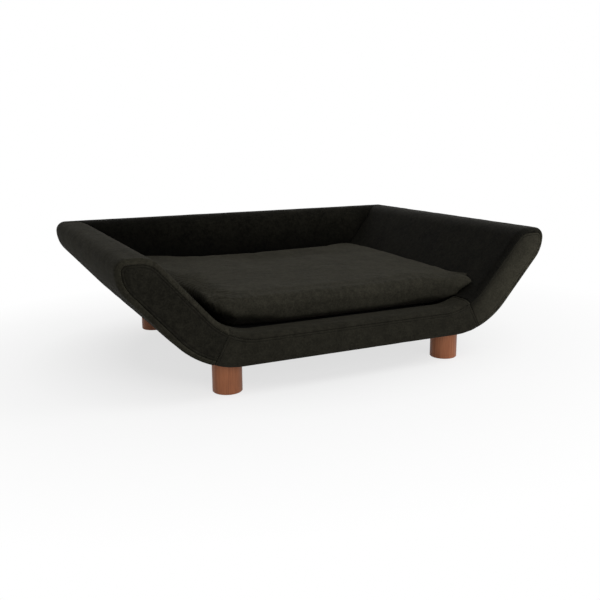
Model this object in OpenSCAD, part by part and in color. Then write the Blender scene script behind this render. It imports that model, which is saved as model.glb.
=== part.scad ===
// Dog sofa bed: a low upholstered sofa with two flared arms, a back, a front rail,
// a loose zipped cushion and four round wooden legs.
// Millimetres, +Z up, origin on the floor under the middle of the bed.
// X runs along the front from the left arm to the right arm, Y from front to back.

/* [Bed] */
// Overall width over the arm rolls
bed_w = 808; // [780:2:840]
// Overall depth from the front face to the rear face
bed_d = 575; // [540:5:620]
// Height of the arm rolls and of the back
bed_h = 241; // [230:1:256]
// Height of the underside above the floor
under_h = 53; // [46:1:58]

/* [Arms] */
// Angle between an arm and the floor
arm_angle = 48.5; // [47:0.5:50]
// Padded thickness of an arm
arm_t = 70; // [66:1:74]
// Radius of the roll on its inner, upper side
roll_in_r = 43; // [40:1:46]
// Radius of the roll's outer, upper corner
roll_out_r = 19; // [17:1:21]
// Distance from an arm's outermost side to the middle of the roll's inner bend
roll_reach = 37.2; // [36.8:0.2:38]
// Radius of the bend under an arm
bend_out_r = 150; // [140:5:155]

/* [Front rail] */
// Padded height of the front rail
rail_h = 53; // [50:1:58]
// Padded thickness of the front rail from front to back
rail_t = 50; // [48:1:56]
// Radius of the bend from the rail up into an arm
bend_in_r = 106; // [96:2:112]
// Turn of the slanted joining seams from straight down
seam_angle = 28; // [24:1:32]
// Width of the edge band outside the stitched seams
seam_inset = 9; // [8:0.5:10]
// Turned-under width of a face panel below the bed
hem_d = 30; // [24:1:32]

/* [Back] */
// Padded thickness of the back at its top
back_top_t = 53; // [50:1:58]
// Padded thickness of the back at the deck
back_low_t = 80; // [76:1:84]
// Radius of the rounding along the back's inner top edge
back_r = 30; // [26:1:34]

/* [Boards] */
// Thickness of the boat-shaped front board
former_t = 15; // [14:0.5:16]
// Thickness of the second board of the front rail
rail_board_t = 15; // [14:0.5:16]
// Thickness of the rear board
rear_board_t = 15; // [12:0.5:18]
// Thickness of the deck board
deck_board_t = 8; // [7:0.5:9]
// Height of the deck board's top above the underside
deck_rise = 35; // [34:0.5:37]
// Distance of the deck board's ends from the arms' outer boards
deck_clear = 17; // [12:1:24]
// Thickness of an arm's inner board
arm_board_t = 10; // [8:0.5:12]
// Thickness of an arm's bent outer board
outer_board_t = 3; // [2:0.25:3.5]
// Thickness of the web inside an arm
rib_t = 12; // [9:1:18]
// Depth of the batten at the top of the back
back_rail_t = 20; // [16:1:22]
// Height of the batten at the top of the back
back_rail_h = 25; // [20:1:30]
// Width of the battens under the deck board
cleat_w = 20; // [16:1:24]
// Height of the battens under the deck board
cleat_h = 18; // [14:1:19]

/* [Padding and covers] */
// Thickness of the velvet covers
cover_t = 1.5; // [1:0.25:2]
// Thickness of the foam on the inner side and over the top
foam_t = 12; // [10:0.5:14]
// Thickness of the wadding on the outer side
wadding_t = 3; // [2:0.25:3.5]
// Thickness of the wadding on the front and rear faces
face_wadding_t = 4; // [3:0.5:5]
// Thickness of the dust cover under the bed
dust_t = 0.8; // [0.6:0.1:1]

/* [Legs] */
// Radius of a leg
leg_r = 25; // [23:0.5:26]
// Distance of the legs' centres outside the start of the arms' bends
leg_out = 12; // [7:1:13]
// Distance of the front legs' centres from the front face
leg_front_inset = 55.5; // [52:0.5:60]
// Distance of the rear legs' centres from the rear face
leg_rear_inset = 52.5; // [48:0.5:56]
// Depth that a leg enters the base
leg_seat = 15; // [14.5:0.25:16]
// Bevel around a leg's foot
leg_bevel = 1.2; // [0.8:0.1:2]
// Width of a leg block, left to right
block_w = 60; // [52:1:62]
// Depth of a leg block, front to back
block_d = 50; // [44:1:56]
// Radius of the hanger bolts
bolt_r = 4; // [3:0.5:4.5]
// Length of a hanger bolt inside the leg
bolt_in_leg = 30; // [20:1:36]

/* [Cushion] */
// Height of the cushion at its top edge
cushion_h = 60; // [56:1:66]
// Rise of the cushion's crown above its top edge
crown_h = 9; // [5:0.5:12]
// Rise of the cushion's left and right ends, which the slanted arms push up
end_rise = 10; // [0:1:10]
// Size of the cushion's rounded edges
cushion_round = 26; // [20:1:30]
// Corner radius of the cushion seen from above
cushion_corner_r = 22; // [16:1:26]
// How far the front side is drawn in between its corners
front_draw = 6; // [3:0.5:9]
// How far the left and right sides are drawn in
side_draw = 4; // [2:0.5:6]
// How far the back side is drawn in, where the zip lies
zip_recess = 15; // [14.5:0.25:17]
// Thickness of the cushion's cover
cushion_cover_t = 2; // [1.5:0.25:2.5]

/* [Zip] */
// Distance of the zip's ends from where the cushion's back side bows out
zip_margin = 5; // [3:0.5:20]
// Width of the zip's tape
tape_w = 24; // [20:1:25]
// Thickness of the zip's tape
tape_t = 0.8; // [0.6:0.1:1]
// Width of the closed row of teeth
teeth_w = 4; // [3.5:0.25:5]
// Height of the teeth above the tape
teeth_h = 1.4; // [1.2:0.1:1.6]
// Length of the slider along the zip
slider_l = 12; // [11:0.5:14]
// Width of the slider across the zip
slider_w = 9; // [8.5:0.25:10]
// Length of the pull tab from its pin
pull_l = 12; // [10:0.25:12.5]

/* [Hidden] */

// Clearance between pieces that lie beside each other
fit_gap = 0.2;
// Clearance around turned parts: screws, bolts and the zip's pin
round_gap = 0.1;
// Clearance around a leg in the covers
leg_gap = 0.3;
// Cloth left between a leg's hole and the edge of an arm cover's hem
hem_margin = 2;
// Overlap of the dust cover and the hems
dust_lap = 8;
// Clearance between the loose cushion and what it lies in
cushion_gap = 1;
// Clearance between the cushion and the deck cloth
cushion_lift = 0.3;
// Overrun of every cut
over = 1;
// Largest turn between two points of a round outline
facet_angle = 6;
// Turn kept free between two panels at a joining seam
seam_turn = 0.1;
$fn = 64;

// Screws: shank, head and length
screw_r = 2;
screw_head_r = 4;
screw_head_h = 2.5;
rail_screw_l = 28;
deck_screw_l = 35;
// Tee nuts: flange, barrel and the wood left below the barrel
flange_r = 11;
flange_t = 1.5;
barrel_r = 5.5;
barrel_rest = 1;
// Free end of a hanger bolt below the deck board
bolt_rest = 0.5;
// Slider and pull: wall heights, lugs, pin, eye and tab
slider_top = 2;
lug_t = 1;
pin_r = 0.7;
eye_wall = 0.7;
tab_t = 1.2;
tab_w = 4;
slider_lift = 0.3;
stop_l = 3;

// Levels
rail_z = under_h + rail_h;
deck_z = under_h + deck_rise;
deck_board_z = deck_z - deck_board_t;
deck_top_z = deck_z + cover_t;
leg_top_z = under_h + leg_seat;

// Depths, from the front face backwards
front_y = -bed_d / 2;
rear_y = bed_d / 2;
front_wadding_y = front_y + cover_t;
former_y = front_wadding_y + face_wadding_t;
rail_board_y = former_y + former_t;
rail_back_y = rail_board_y + rail_board_t;
rail_end_y = front_y + rail_t;
rear_wadding_y = rear_y - cover_t - face_wadding_t;
rear_board_y = rear_wadding_y - rear_board_t;

// Insets of the layers from the finished surface: foam's face, wood on the inner and outer side
foam_in = cover_t + fit_gap;
wood_in = cover_t + foam_t;
wood_out = cover_t + wadding_t;
board_out = wood_out + outer_board_t;

// The arm's section is a slab at arm_angle. A point's place across the slab is its n, from
// in_n on the inner face to out_n on the outer one. The roll is a long bend up the outer side,
// a small corner bend, a flat top and a bend down into the inner face.
sin_a = sin(arm_angle);
cos_a = cos(arm_angle);
roll_x = bed_w / 2 - roll_out_r;
roll_z = bed_h - roll_out_r;
top_x = bed_w / 2 - roll_reach;
top_z = bed_h - roll_in_r;
in_n = top_x * sin_a - top_z * cos_a - roll_in_r;
out_n = in_n + arm_t;
// The long bend touches the outer face and the arm's outermost side
side_r = (out_n - bed_w / 2 * sin_a + roll_z * cos_a) / (1 - sin_a);
side_x = bed_w / 2 - side_r;
// Height along the slab at which the roll starts
roll_d = top_x * cos_a + top_z * sin_a;

// Centres of the two bends
bend_out_z = under_h + bend_out_r;
bend_out_x = slope_x(out_n - bend_out_r, bend_out_z);
bend_in_z = rail_z + bend_in_r;
bend_in_x = slope_x(in_n - bend_in_r, bend_in_z);
leg_x = bend_out_x + leg_out;
deck_half_w = bend_out_x + sqrt(pow(bend_out_r - board_out, 2)
    - pow(bend_out_z - deck_board_z, 2)) - deck_clear;
// Angles at which the bends end, and of the seam's line
slope_end = arm_angle - 90;
seam_dir = seam_angle - 90;

// Inner edge of the turned-under hems of the arm covers
hem_x = leg_x - leg_r - leg_gap - hem_margin;

// The back's inner face leans
lean = atan((back_low_t - back_top_t) / (bed_h - deck_z));
back_arc_z = bed_h - back_r;
back_arc_y = back_y(back_arc_z) + back_r / cos(lean);

leg_front_y = front_y + leg_front_inset;
leg_rear_y = rear_y - leg_rear_inset;

// Cushion: its rings from the bottom to the top edge, as shares of its height and of its
// rounding, then the sizes of its rings over the crown, as shares of the top ring
ring_height_shares = [0, 0.1, 0.2, 0.44, 0.68, 0.84, 0.95, 1];
ring_inset_shares = [0.5, 0.2, 0, 0, 0, 0.1, 0.32, 0.66];
crown_size_shares = [0.88, 0.66, 0.36];
// Places along a side, and how far each is drawn in
side_place_shares = [-1, -0.84, -0.62, -0.3, 0, 0.3, 0.62, 0.84, 1];
side_draw_shares = [0, 0.55, 1, 1, 1, 1, 1, 0.55, 0];
corner_turns = [22.5, 45, 67.5];
cushion_z = deck_top_z + cushion_lift;
// The zip lies on the flat stretch of the drawn-in back side, between the rings 2 and 4
zip_y = back_y(deck_z) - cushion_gap - zip_recess;
zip_z = cushion_z + cushion_h * (ring_height_shares[2] + ring_height_shares[4]) / 2;
zip_low_z = cushion_z + cushion_h * ring_height_shares[2];
zip_half = side_place_shares[6] * (slope_x(in_n - cushion_gap, zip_low_z + end_rise
    * ring_height_shares[2]) - cushion_corner_r) - zip_margin;
slider_y = zip_y + tape_t + slider_lift;
slider_face_y = zip_y + tape_t + teeth_h + round_gap + slider_top;
eye_r = pin_r + round_gap + eye_wall;
pin_y = slider_face_y + fit_gap + eye_r;
slider_x = zip_half - stop_l - fit_gap - slider_l / 2;

// X of the line n at height z
function slope_x(n, z) = (n + z * cos_a) / sin_a;
// Point n across and d along the slab
function slab(n, d) = [n * sin_a + d * cos_a, d * sin_a - n * cos_a];
// Y of the back's inner face at height z
function back_y(z) = rear_y - back_low_t + (z - deck_z) * tan(lean);
function reversed(list) = [for (k = [len(list) - 1 : -1 : 0]) list[k]];
// A right half and its mirror image as one outline
function both(half) = concat(half, [for (p = reversed(half)) [-p[0], p[1]]]);
// Points of an arc whose radius may change from r0 to r1, without its first skip points
function arc(cx, cz, r0, r1, a0, a1, skip = 0) =
    let (count = max(1, ceil(abs(a1 - a0) / facet_angle)))
    [for (k = [skip : count])
        let (t = k / count, a = a0 + (a1 - a0) * t, r = r0 + (r1 - r0) * t)
        [cx + r * cos(a), cz + r * sin(a)]];

// The right half's outline runs from the underside round the outer bend, over the roll and
// down the inner face. i and o are its insets on the inner and the outer side.
function bend_out_arc(o, start = -90) =
    arc(bend_out_x, bend_out_z, bend_out_r - o, bend_out_r - o, start, slope_end);
function roll_arc(i, o, last = 90 + arm_angle) = concat(
    arc(side_x, roll_z, side_r - o, side_r - o, slope_end, 0),
    arc(roll_x, roll_z, roll_out_r - o, roll_out_r - o, 0, 90, 1),
    last > 90 ? arc(top_x, top_z, roll_in_r - i, roll_in_r - i, 90, last)
        : [[top_x, top_z + roll_in_r - i]]);
function bend_in_arc(i, first = slope_end, last = -90) =
    arc(bend_in_x, bend_in_z, bend_in_r + i, bend_in_r + i, first, last);
// Angle about the outer bend's centre at which the slanted seam's line meets inset o
function seam_foot(o, turn = seam_dir) =
    let (wx = bend_in_x - bend_out_x, wz = bend_in_z - bend_out_z,
        b = wx * cos(turn) + wz * sin(turn),
        r = sqrt(b * b - wx * wx - wz * wz + pow(bend_out_r - o, 2)) - b)
    atan2(wz + r * sin(turn), wx + r * cos(turn));

function boat_half(i, o) = concat(bend_out_arc(o), roll_arc(i, o), bend_in_arc(i));
function rear_half(i, o) = concat(bend_out_arc(o), roll_arc(i, o, 90));
function end_half(s) = concat(bend_out_arc(s, seam_foot(s)), roll_arc(s, s),
    bend_in_arc(s, slope_end, seam_dir));
// Open paths for skins: over the bend into the rail, down to a level, and up to the top only
function rail_path(i, o) = concat([[hem_x, under_h + o]], bend_out_arc(o), roll_arc(i, o),
    bend_in_arc(i, slope_end, seam_dir));
function arm_path(i, o, low) = concat([[hem_x, under_h + o]], bend_out_arc(o), roll_arc(i, o),
    [[slope_x(in_n + i, low), low]]);
function rear_path(i, o) = concat([[hem_x, under_h + o]], bend_out_arc(o), roll_arc(i, o, 90));
// Half of the rail's inner board, foam or skin: the line n_off beside the inner face and an arc
function web_half(i, n_off, low) = concat([[slope_x(in_n + n_off, low), low]],
    bend_in_arc(i, slope_end - acos((bend_in_r + n_off) / (bend_in_r + i))));
// The back's section, as Y and Z
function back_path(i) = concat(
    [[back_y(deck_z) + i / cos(lean), deck_z]],
    arc(back_arc_y, back_arc_z, back_r - i, back_r - i, 180 - lean, 90),
    [[rear_y - i, bed_h - i], [rear_y - i, bed_h - seam_inset]]);

module skin(outer, inner) {
    polygon(concat(outer, reversed(inner)));
}

// Stretches a drawing in X and Z from y0 to y1
module from_to_y(y0, y1) {
    translate([0, y1, 0]) rotate([90, 0, 0]) linear_extrude(y1 - y0) children();
}

// Stretches a drawing in Y and Z over both sides of the middle
module across_x(half) {
    translate([-half, 0, 0]) rotate([90, 0, 90]) linear_extrude(2 * half) children();
}

module left() {
    mirror([1, 0, 0]) children();
}

module box(x0, x1, y0, y1, z0, z1) {
    translate([x0, y0, z0]) cube([x1 - x0, y1 - y0, z1 - z0]);
}

// Places of the four legs
module at_legs() {
    for (x = [-leg_x, leg_x], y = [leg_front_y, leg_rear_y]) translate([x, y, 0]) children();
}

module leg_holes() {
    at_legs() translate([0, 0, under_h - dust_t - over])
        cylinder(r = leg_r + leg_gap, h = leg_seat + dust_t + over);
}

// A countersunk screw along +Y with its head at y = 0, grown by gap for its hole
module screw(length, gap = 0) {
    rotate([-90, 0, 0]) {
        cylinder(r = screw_r + gap, h = length);
        cylinder(r1 = screw_head_r + gap, r2 = screw_r + gap, h = screw_head_h);
    }
}

// All the screws, or their holes. Their places along X are shares of the legs' distance.
screw_place_shares = [-0.82, -0.28, 0.28, 0.82];
// Distance of the roll's screws above the ends of the arm's boards
roll_screw_up = 7.5;
rail_screw_z = (leg_top_z + rail_z - wood_in) / 2;
roll_screw = slab(in_n + (wood_in + arm_t - wood_out) / 2, roll_d + roll_screw_up);
module screws(gap = 0) {
    for (share = screw_place_shares) translate([share * leg_x, 0, 0]) {
        translate([0, former_y, rail_screw_z]) screw(rail_screw_l, gap);
        translate([0, rear_wadding_y, deck_z - deck_board_t / 2]) mirror([0, 1, 0])
            screw(deck_screw_l, gap);
    }
    for (side = [-1, 1]) {
        translate([side * roll_screw[0], former_y, roll_screw[1]]) screw(deck_screw_l, gap);
        translate([side * roll_screw[0], rear_wadding_y, roll_screw[1]]) mirror([0, 1, 0])
            screw(deck_screw_l, gap);
    }
}

module front_former() {
    color("burlywood") difference() {
        from_to_y(former_y, rail_board_y) polygon(both(boat_half(wood_in, wood_out)));
        screws(round_gap);
    }
}

module inner_front_rail() {
    color("burlywood") difference() {
        from_to_y(rail_board_y, rail_back_y)
            polygon(both(web_half(wood_in, wood_in - fit_gap, leg_top_z)));
        screws(round_gap);
    }
}

module rear_panel() {
    color("burlywood") difference() {
        from_to_y(rear_board_y, rear_wadding_y) polygon(both(rear_half(wood_in, wood_out)));
        screws(round_gap);
    }
}

module base_panel() {
    color("burlywood") difference() {
        box(-deck_half_w, deck_half_w, rail_back_y, rear_board_y, deck_board_z, deck_z);
        screws(round_gap);
    }
}

module arm_inner_board() {
    color("burlywood") from_to_y(rail_board_y, rear_board_y) polygon([
        [slope_x(in_n + wood_in, deck_z), deck_z],
        [slope_x(in_n + wood_in + arm_board_t, deck_z), deck_z],
        slab(in_n + wood_in + arm_board_t, roll_d - fit_gap),
        slab(in_n + wood_in, roll_d - fit_gap)]);
}

function outer_board_path(o) = concat([[hem_x, under_h + o]], bend_out_arc(o),
    [slab(out_n - o, roll_d - fit_gap)]);

module arm_outer_board() {
    color("peru") difference() {
        from_to_y(rail_board_y, rear_board_y)
            skin(outer_board_path(wood_out), outer_board_path(board_out));
        leg_holes();
    }
}

module arm_top_rail() {
    color("burlywood") difference() {
        from_to_y(rail_board_y, rear_board_y)
            polygon(concat([slab(out_n - wood_out, roll_d)], roll_arc(wood_in, wood_out)));
        screws(round_gap);
    }
}

// The web stands on the deck board between the arm's two boards
module arm_rib() {
    web_out = board_out + fit_gap;
    web_in = wood_in + arm_board_t + fit_gap;
    start = -asin((bend_out_z - deck_z) / (bend_out_r - web_out));
    color("burlywood") from_to_y(-rib_t / 2, rib_t / 2) polygon(concat(
        [[slope_x(in_n + web_in, deck_z), deck_z]],
        bend_out_arc(web_out, start),
        [slab(out_n - web_out, roll_d - fit_gap), slab(in_n + web_in, roll_d - fit_gap)]));
}

// The space between the two arms, down to the level low
module between_arms(low) {
    from_to_y(front_y, rear_y) polygon(both([
        [slope_x(in_n - fit_gap, low), low], [slope_x(in_n - fit_gap, bed_h), bed_h]]));
}

module back_top_rail() {
    color("burlywood") intersection() {
        box(-top_x, top_x, rear_board_y - back_rail_t, rear_board_y,
            bed_h - wood_in - back_rail_h, bed_h - wood_in);
        between_arms(deck_z);
    }
}

cleat_half = leg_x - block_w / 2 - fit_gap;

module front_base_cleat() {
    color("burlywood") box(-cleat_half, cleat_half, rail_back_y, rail_back_y + cleat_w,
        deck_board_z - cleat_h, deck_board_z);
}

module rear_base_cleat() {
    color("burlywood") box(-cleat_half, cleat_half, rear_board_y - cleat_w, rear_board_y,
        deck_board_z - cleat_h, deck_board_z);
}

// The blocks fill the corners between the front board or the rear board and the deck board
module leg_blocks() {
    color("burlywood") difference() {
        for (side = [-1, 1]) translate([side * leg_x, 0, 0]) {
            box(-block_w / 2, block_w / 2, rail_back_y, rail_back_y + block_d,
                leg_top_z, deck_board_z);
            box(-block_w / 2, block_w / 2, rear_board_y - block_d, rear_board_y,
                leg_top_z, deck_board_z);
        }
        at_legs() {
            translate([0, 0, leg_top_z - over])
                cylinder(r = barrel_r + round_gap, h = deck_board_z - leg_top_z + 2 * over);
            translate([0, 0, deck_board_z - flange_t - round_gap])
                cylinder(r = flange_r + round_gap, h = flange_t + over);
        }
    }
}

module tee_nuts() {
    color("silver") at_legs() difference() {
        union() {
            translate([0, 0, leg_top_z + barrel_rest])
                cylinder(r = barrel_r, h = deck_board_z - leg_top_z - barrel_rest);
            translate([0, 0, deck_board_z - flange_t]) cylinder(r = flange_r, h = flange_t);
        }
        translate([0, 0, leg_top_z]) cylinder(r = bolt_r + round_gap, h = deck_board_z);
    }
}

module hanger_bolts() {
    color("silver") at_legs() translate([0, 0, leg_top_z - bolt_in_leg])
        cylinder(r = bolt_r, h = bolt_in_leg + deck_board_z - leg_top_z - bolt_rest);
}

module frame_screws() {
    color("goldenrod") screws();
}

module leg(x, y) {
    color("sienna") translate([x, y, 0]) difference() {
        union() {
            cylinder(r1 = leg_r - leg_bevel, r2 = leg_r, h = leg_bevel);
            translate([0, 0, leg_bevel]) cylinder(r = leg_r, h = leg_top_z - leg_bevel);
        }
        translate([0, 0, leg_top_z - bolt_in_leg]) cylinder(r = bolt_r + round_gap, h = leg_top_z);
    }
}

module front_wadding() {
    color("ivory") from_to_y(front_wadding_y, former_y)
        polygon(both(boat_half(seam_inset, seam_inset)));
}

module rear_wadding() {
    color("ivory") from_to_y(rear_wadding_y, rear_y - cover_t)
        polygon(both(rear_half(seam_inset, seam_inset)));
}

// Foam on the inner side and over the roll, thin wadding on the outer side
module arm_foam() {
    i = wood_in - fit_gap;
    o = wood_out - fit_gap;
    color("lemonchiffon") difference() {
        union() {
            from_to_y(former_y, rail_back_y) skin(rail_path(foam_in, foam_in), rail_path(i, o));
            from_to_y(rail_back_y, rear_board_y - fit_gap)
                skin(arm_path(foam_in, foam_in, deck_z), arm_path(i, o, deck_z));
            from_to_y(rear_board_y - fit_gap, rear_wadding_y)
                skin(rear_path(foam_in, foam_in), rear_path(i, o));
        }
        leg_holes();
    }
}

module rail_foam() {
    color("lemonchiffon") {
        from_to_y(former_y, rail_back_y) skin(
            both(bend_in_arc(foam_in, seam_dir - seam_turn)),
            both(bend_in_arc(wood_in - fit_gap, seam_dir - seam_turn)));
        from_to_y(rail_back_y, rail_end_y - foam_in)
            polygon(both(web_half(foam_in, -fit_gap, deck_z)));
    }
}

// All that lies beyond the arms' inner faces and rolls, in front of the rear board
module arms_cut() {
    for (side = [0, 1]) mirror([side, 0, 0]) from_to_y(front_y, rear_board_y)
        polygon(concat([[slope_x(in_n - fit_gap, deck_z - over), deck_z - over]],
            arc(top_x, top_z, roll_in_r + fit_gap, roll_in_r + fit_gap, 90 + arm_angle, 90),
            [[bed_w / 2, bed_h + fit_gap], [bed_w / 2, deck_z - over]]));
}

// The back's foam lies against the rear board, round the batten and over the board's top
module back_foam() {
    top = bed_h - wood_in;
    rail_y = rear_board_y - back_rail_t;
    color("lemonchiffon") difference() {
        across_x(top_x - fit_gap) polygon(concat(
            [[rear_board_y - fit_gap, deck_z], [back_y(deck_z) + foam_in / cos(lean), deck_z]],
            arc(back_arc_y, back_arc_z, back_r - foam_in, back_r - foam_in, 180 - lean, 90),
            [[rear_wadding_y, bed_h - foam_in], [rear_wadding_y, top + fit_gap],
            [rail_y - fit_gap, top + fit_gap], [rail_y - fit_gap, top - back_rail_h - fit_gap],
            [rear_board_y - fit_gap, top - back_rail_h - fit_gap]]));
        arms_cut();
    }
}

// Middle of the front face, turned under the rail
module face_middle() {
    turn = seam_dir - seam_turn;
    polygon(both(concat(
        arc(bend_out_x, bend_out_z, bend_out_r, bend_out_r, -90, seam_foot(0, turn)),
        bend_in_arc(seam_inset + fit_gap, turn))));
}

module front_face_panel() {
    color("dimgray") {
        from_to_y(front_y, front_wadding_y) face_middle();
        box(-hem_x + fit_gap, hem_x - fit_gap, front_y, front_y + hem_d,
            under_h, under_h + cover_t);
    }
}

module end_panel() {
    color("dimgray") from_to_y(front_y, front_wadding_y)
        polygon(end_half(seam_inset + fit_gap));
}

// The wrap over an arm: its long skin, cut to the rail, the deck and the back, and the
// edge bands that it turns onto the front and the rear face
module arm_cover() {
    color("dimgray") difference() {
        union() {
            from_to_y(front_y, front_wadding_y) skin(end_half(0), end_half(seam_inset));
            from_to_y(front_wadding_y, rail_end_y - cover_t)
                skin(rail_path(0, 0), rail_path(cover_t, cover_t));
            from_to_y(rail_end_y - cover_t, rear_board_y)
                skin(arm_path(0, 0, deck_z), arm_path(cover_t, cover_t, deck_z));
            from_to_y(rear_board_y, rear_y - cover_t)
                skin(rear_path(0, 0), rear_path(cover_t, cover_t));
            from_to_y(rear_y - cover_t, rear_y) skin(
                concat(bend_out_arc(0, seam_foot(0)), roll_arc(0, 0, 90)),
                concat(bend_out_arc(seam_inset, seam_foot(seam_inset)),
                    roll_arc(seam_inset, seam_inset, 90)));
        }
        leg_holes();
    }
}

// The band over the rail, and its skin down the rail's inner side to the deck
module front_rail_cover() {
    turn = seam_dir - seam_turn;
    color("dimgray") {
        from_to_y(front_y, front_wadding_y)
            skin(both(bend_in_arc(0, turn)), both(bend_in_arc(seam_inset, turn)));
        from_to_y(front_wadding_y, rail_end_y - cover_t)
            skin(both(bend_in_arc(0, turn)), both(bend_in_arc(cover_t, turn)));
        from_to_y(rail_end_y - cover_t, rail_end_y)
            polygon(both(web_half(0, -fit_gap, deck_z)));
    }
}

module inside_back_cover() {
    color("dimgray") difference() {
        across_x(top_x - fit_gap) skin(back_path(0), back_path(cover_t));
        arms_cut();
    }
}

module outside_back_panel() {
    s = seam_inset + fit_gap;
    color("dimgray") {
        from_to_y(rear_y - cover_t, rear_y) polygon(both(concat(
            arc(bend_out_x, bend_out_z, bend_out_r, bend_out_r, -90,
                seam_foot(0, seam_dir - seam_turn)),
            bend_out_arc(s, seam_foot(s, seam_dir - seam_turn)), roll_arc(s, s, 90))));
        box(-hem_x + fit_gap, hem_x - fit_gap, rear_y - hem_d, rear_y,
            under_h, under_h + cover_t);
    }
}

module deck_cloth() {
    half = slope_x(in_n - fit_gap, deck_z);
    color("dimgray") box(-half, half, rail_end_y + fit_gap, back_y(deck_z) - fit_gap,
        deck_z, deck_top_z);
}

// The dust cover overlaps the hems all round
module dust_cover() {
    half_x = hem_x + dust_lap;
    y1 = rear_y - hem_d + dust_lap;
    color("black") difference() {
        box(-half_x, half_x, -y1, y1, under_h - dust_t, under_h);
        leg_holes();
    }
}

// One ring of the cushion at height z: inset s from what it lies in, its sides drawn in and
// its ends raised
function cushion_ring(z, s, rise) =
    let (hx = slope_x(in_n - cushion_gap, z + rise) - s,
        y0 = rail_end_y + cushion_gap + s,
        y1 = back_y(z) - cushion_gap - s,
        y_mid = zip_y - s,
        r = cushion_corner_r,
        last = len(side_place_shares) - 1)
    [for (p = concat(
        [for (k = [0 : last])
            [side_place_shares[k] * (hx - r), y0 + front_draw * side_draw_shares[k]]],
        [for (a = corner_turns) [hx - r + r * sin(a), y0 + r - r * cos(a)]],
        [for (k = [0 : last]) [hx - side_draw * side_draw_shares[k],
            (y0 + y1) / 2 + side_place_shares[k] * ((y1 - y0) / 2 - r)]],
        [for (a = corner_turns) [hx - r + r * cos(a), y1 - r + r * sin(a)]],
        [for (k = [last : -1 : 0]) [side_place_shares[k] * (hx - r),
            y1 - (y1 - y_mid) * side_draw_shares[k]]],
        [for (a = corner_turns) [r - hx - r * sin(a), y1 - r + r * cos(a)]],
        [for (k = [last : -1 : 0]) [side_draw * side_draw_shares[k] - hx,
            (y0 + y1) / 2 + side_place_shares[k] * ((y1 - y0) / 2 - r)]],
        [for (a = corner_turns) [r - hx - r * cos(a), y0 + r - r * sin(a)]]))
        [p[0], p[1], z + rise * pow(p[0] / hx, 2)]];

// The cushion's crowned form, shrunk by skin_t on every side
module cushion_form(skin_t) {
    last = len(ring_height_shares) - 1;
    h = cushion_h - 2 * skin_t;
    mid_y = (rail_end_y + zip_y) / 2;
    sides = [for (k = [0 : last]) cushion_ring(cushion_z + skin_t + h * ring_height_shares[k],
        skin_t + cushion_round * ring_inset_shares[k], end_rise * ring_height_shares[k])];
    edge_z = cushion_z + skin_t + h;
    half_x = max([for (p = sides[last]) p[0]]);
    half_y = max([for (p = sides[last]) abs(p[1] - mid_y)]);
    crown = [for (share = crown_size_shares) [for (p = sides[last])
        [p[0] * share, mid_y + (p[1] - mid_y) * share, edge_z
            + end_rise * pow(p[0] * share / half_x, 2)
            + crown_h * sqrt(1 - pow(p[0] * share / half_x, 2))
            * sqrt(1 - pow((p[1] - mid_y) * share / half_y, 2))]]];
    rings = concat(sides, crown);
    per = len(rings[0]);
    top = per * len(rings);
    points = concat([for (ring = rings) each ring],
        [[0, mid_y, edge_z + crown_h], [0, mid_y, cushion_z + skin_t]]);
    walls = [for (k = [0 : len(rings) - 2], j = [0 : per - 1])
        let (a = k * per + j, b = k * per + (j + 1) % per)
        each [[a, a + per, b], [b, a + per, b + per]]];
    caps = [for (j = [0 : per - 1]) let (next = (j + 1) % per)
        each [[top - per + j, top, top - per + next], [j, next, top + 1]]];
    polyhedron(points, concat(walls, caps));
}

module cushion_cover() {
    color("dimgray") difference() {
        cushion_form(0);
        cushion_form(cushion_cover_t);
    }
}

module cushion_core() {
    color("lemonchiffon") cushion_form(cushion_cover_t + fit_gap);
}

// The closed zip: tape, row of teeth and a stop at each end
module zip_tape() {
    color("black") {
        box(-zip_half, zip_half, zip_y, zip_y + tape_t, zip_z - tape_w / 2, zip_z + tape_w / 2);
        box(-zip_half, zip_half, zip_y, zip_y + tape_t + teeth_h, zip_z - teeth_w / 2,
            zip_z + teeth_w / 2);
        for (x = [-zip_half, zip_half - stop_l]) box(x, x + stop_l, zip_y,
            zip_y + tape_t + teeth_h + round_gap, zip_z - teeth_w, zip_z + teeth_w);
    }
}

// Slider over the teeth, with two lugs and the pin that holds the pull
module zip_slider() {
    lug_in = tab_w / 2 + fit_gap;
    color("silver") {
        difference() {
            box(slider_x - slider_l / 2, slider_x + slider_l / 2, slider_y, slider_face_y,
                zip_z - slider_w / 2, zip_z + slider_w / 2);
            box(slider_x - slider_l, slider_x + slider_l, slider_y - over,
                slider_face_y - slider_top, zip_z - teeth_w / 2 - round_gap,
                zip_z + teeth_w / 2 + round_gap);
        }
        for (z = [zip_z - lug_in - lug_t, zip_z + lug_in]) box(slider_x - eye_r,
            slider_x + eye_r, slider_face_y, pin_y + eye_r, z, z + lug_t);
        translate([slider_x, pin_y, zip_z - lug_in - lug_t])
            cylinder(r = pin_r, h = 2 * (lug_in + lug_t));
    }
}

// The pull lies along the zip and turns about the pin
module zip_pull() {
    color("silver") difference() {
        union() {
            translate([slider_x, pin_y, zip_z - tab_w / 2]) cylinder(r = eye_r, h = tab_w);
            box(slider_x - pull_l, slider_x, pin_y - tab_t / 2, pin_y + tab_t / 2,
                zip_z - tab_w / 2, zip_z + tab_w / 2);
        }
        translate([slider_x, pin_y, zip_z - tab_w / 2 - over])
            cylinder(r = pin_r + round_gap, h = tab_w + 2 * over);
    }
}

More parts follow.
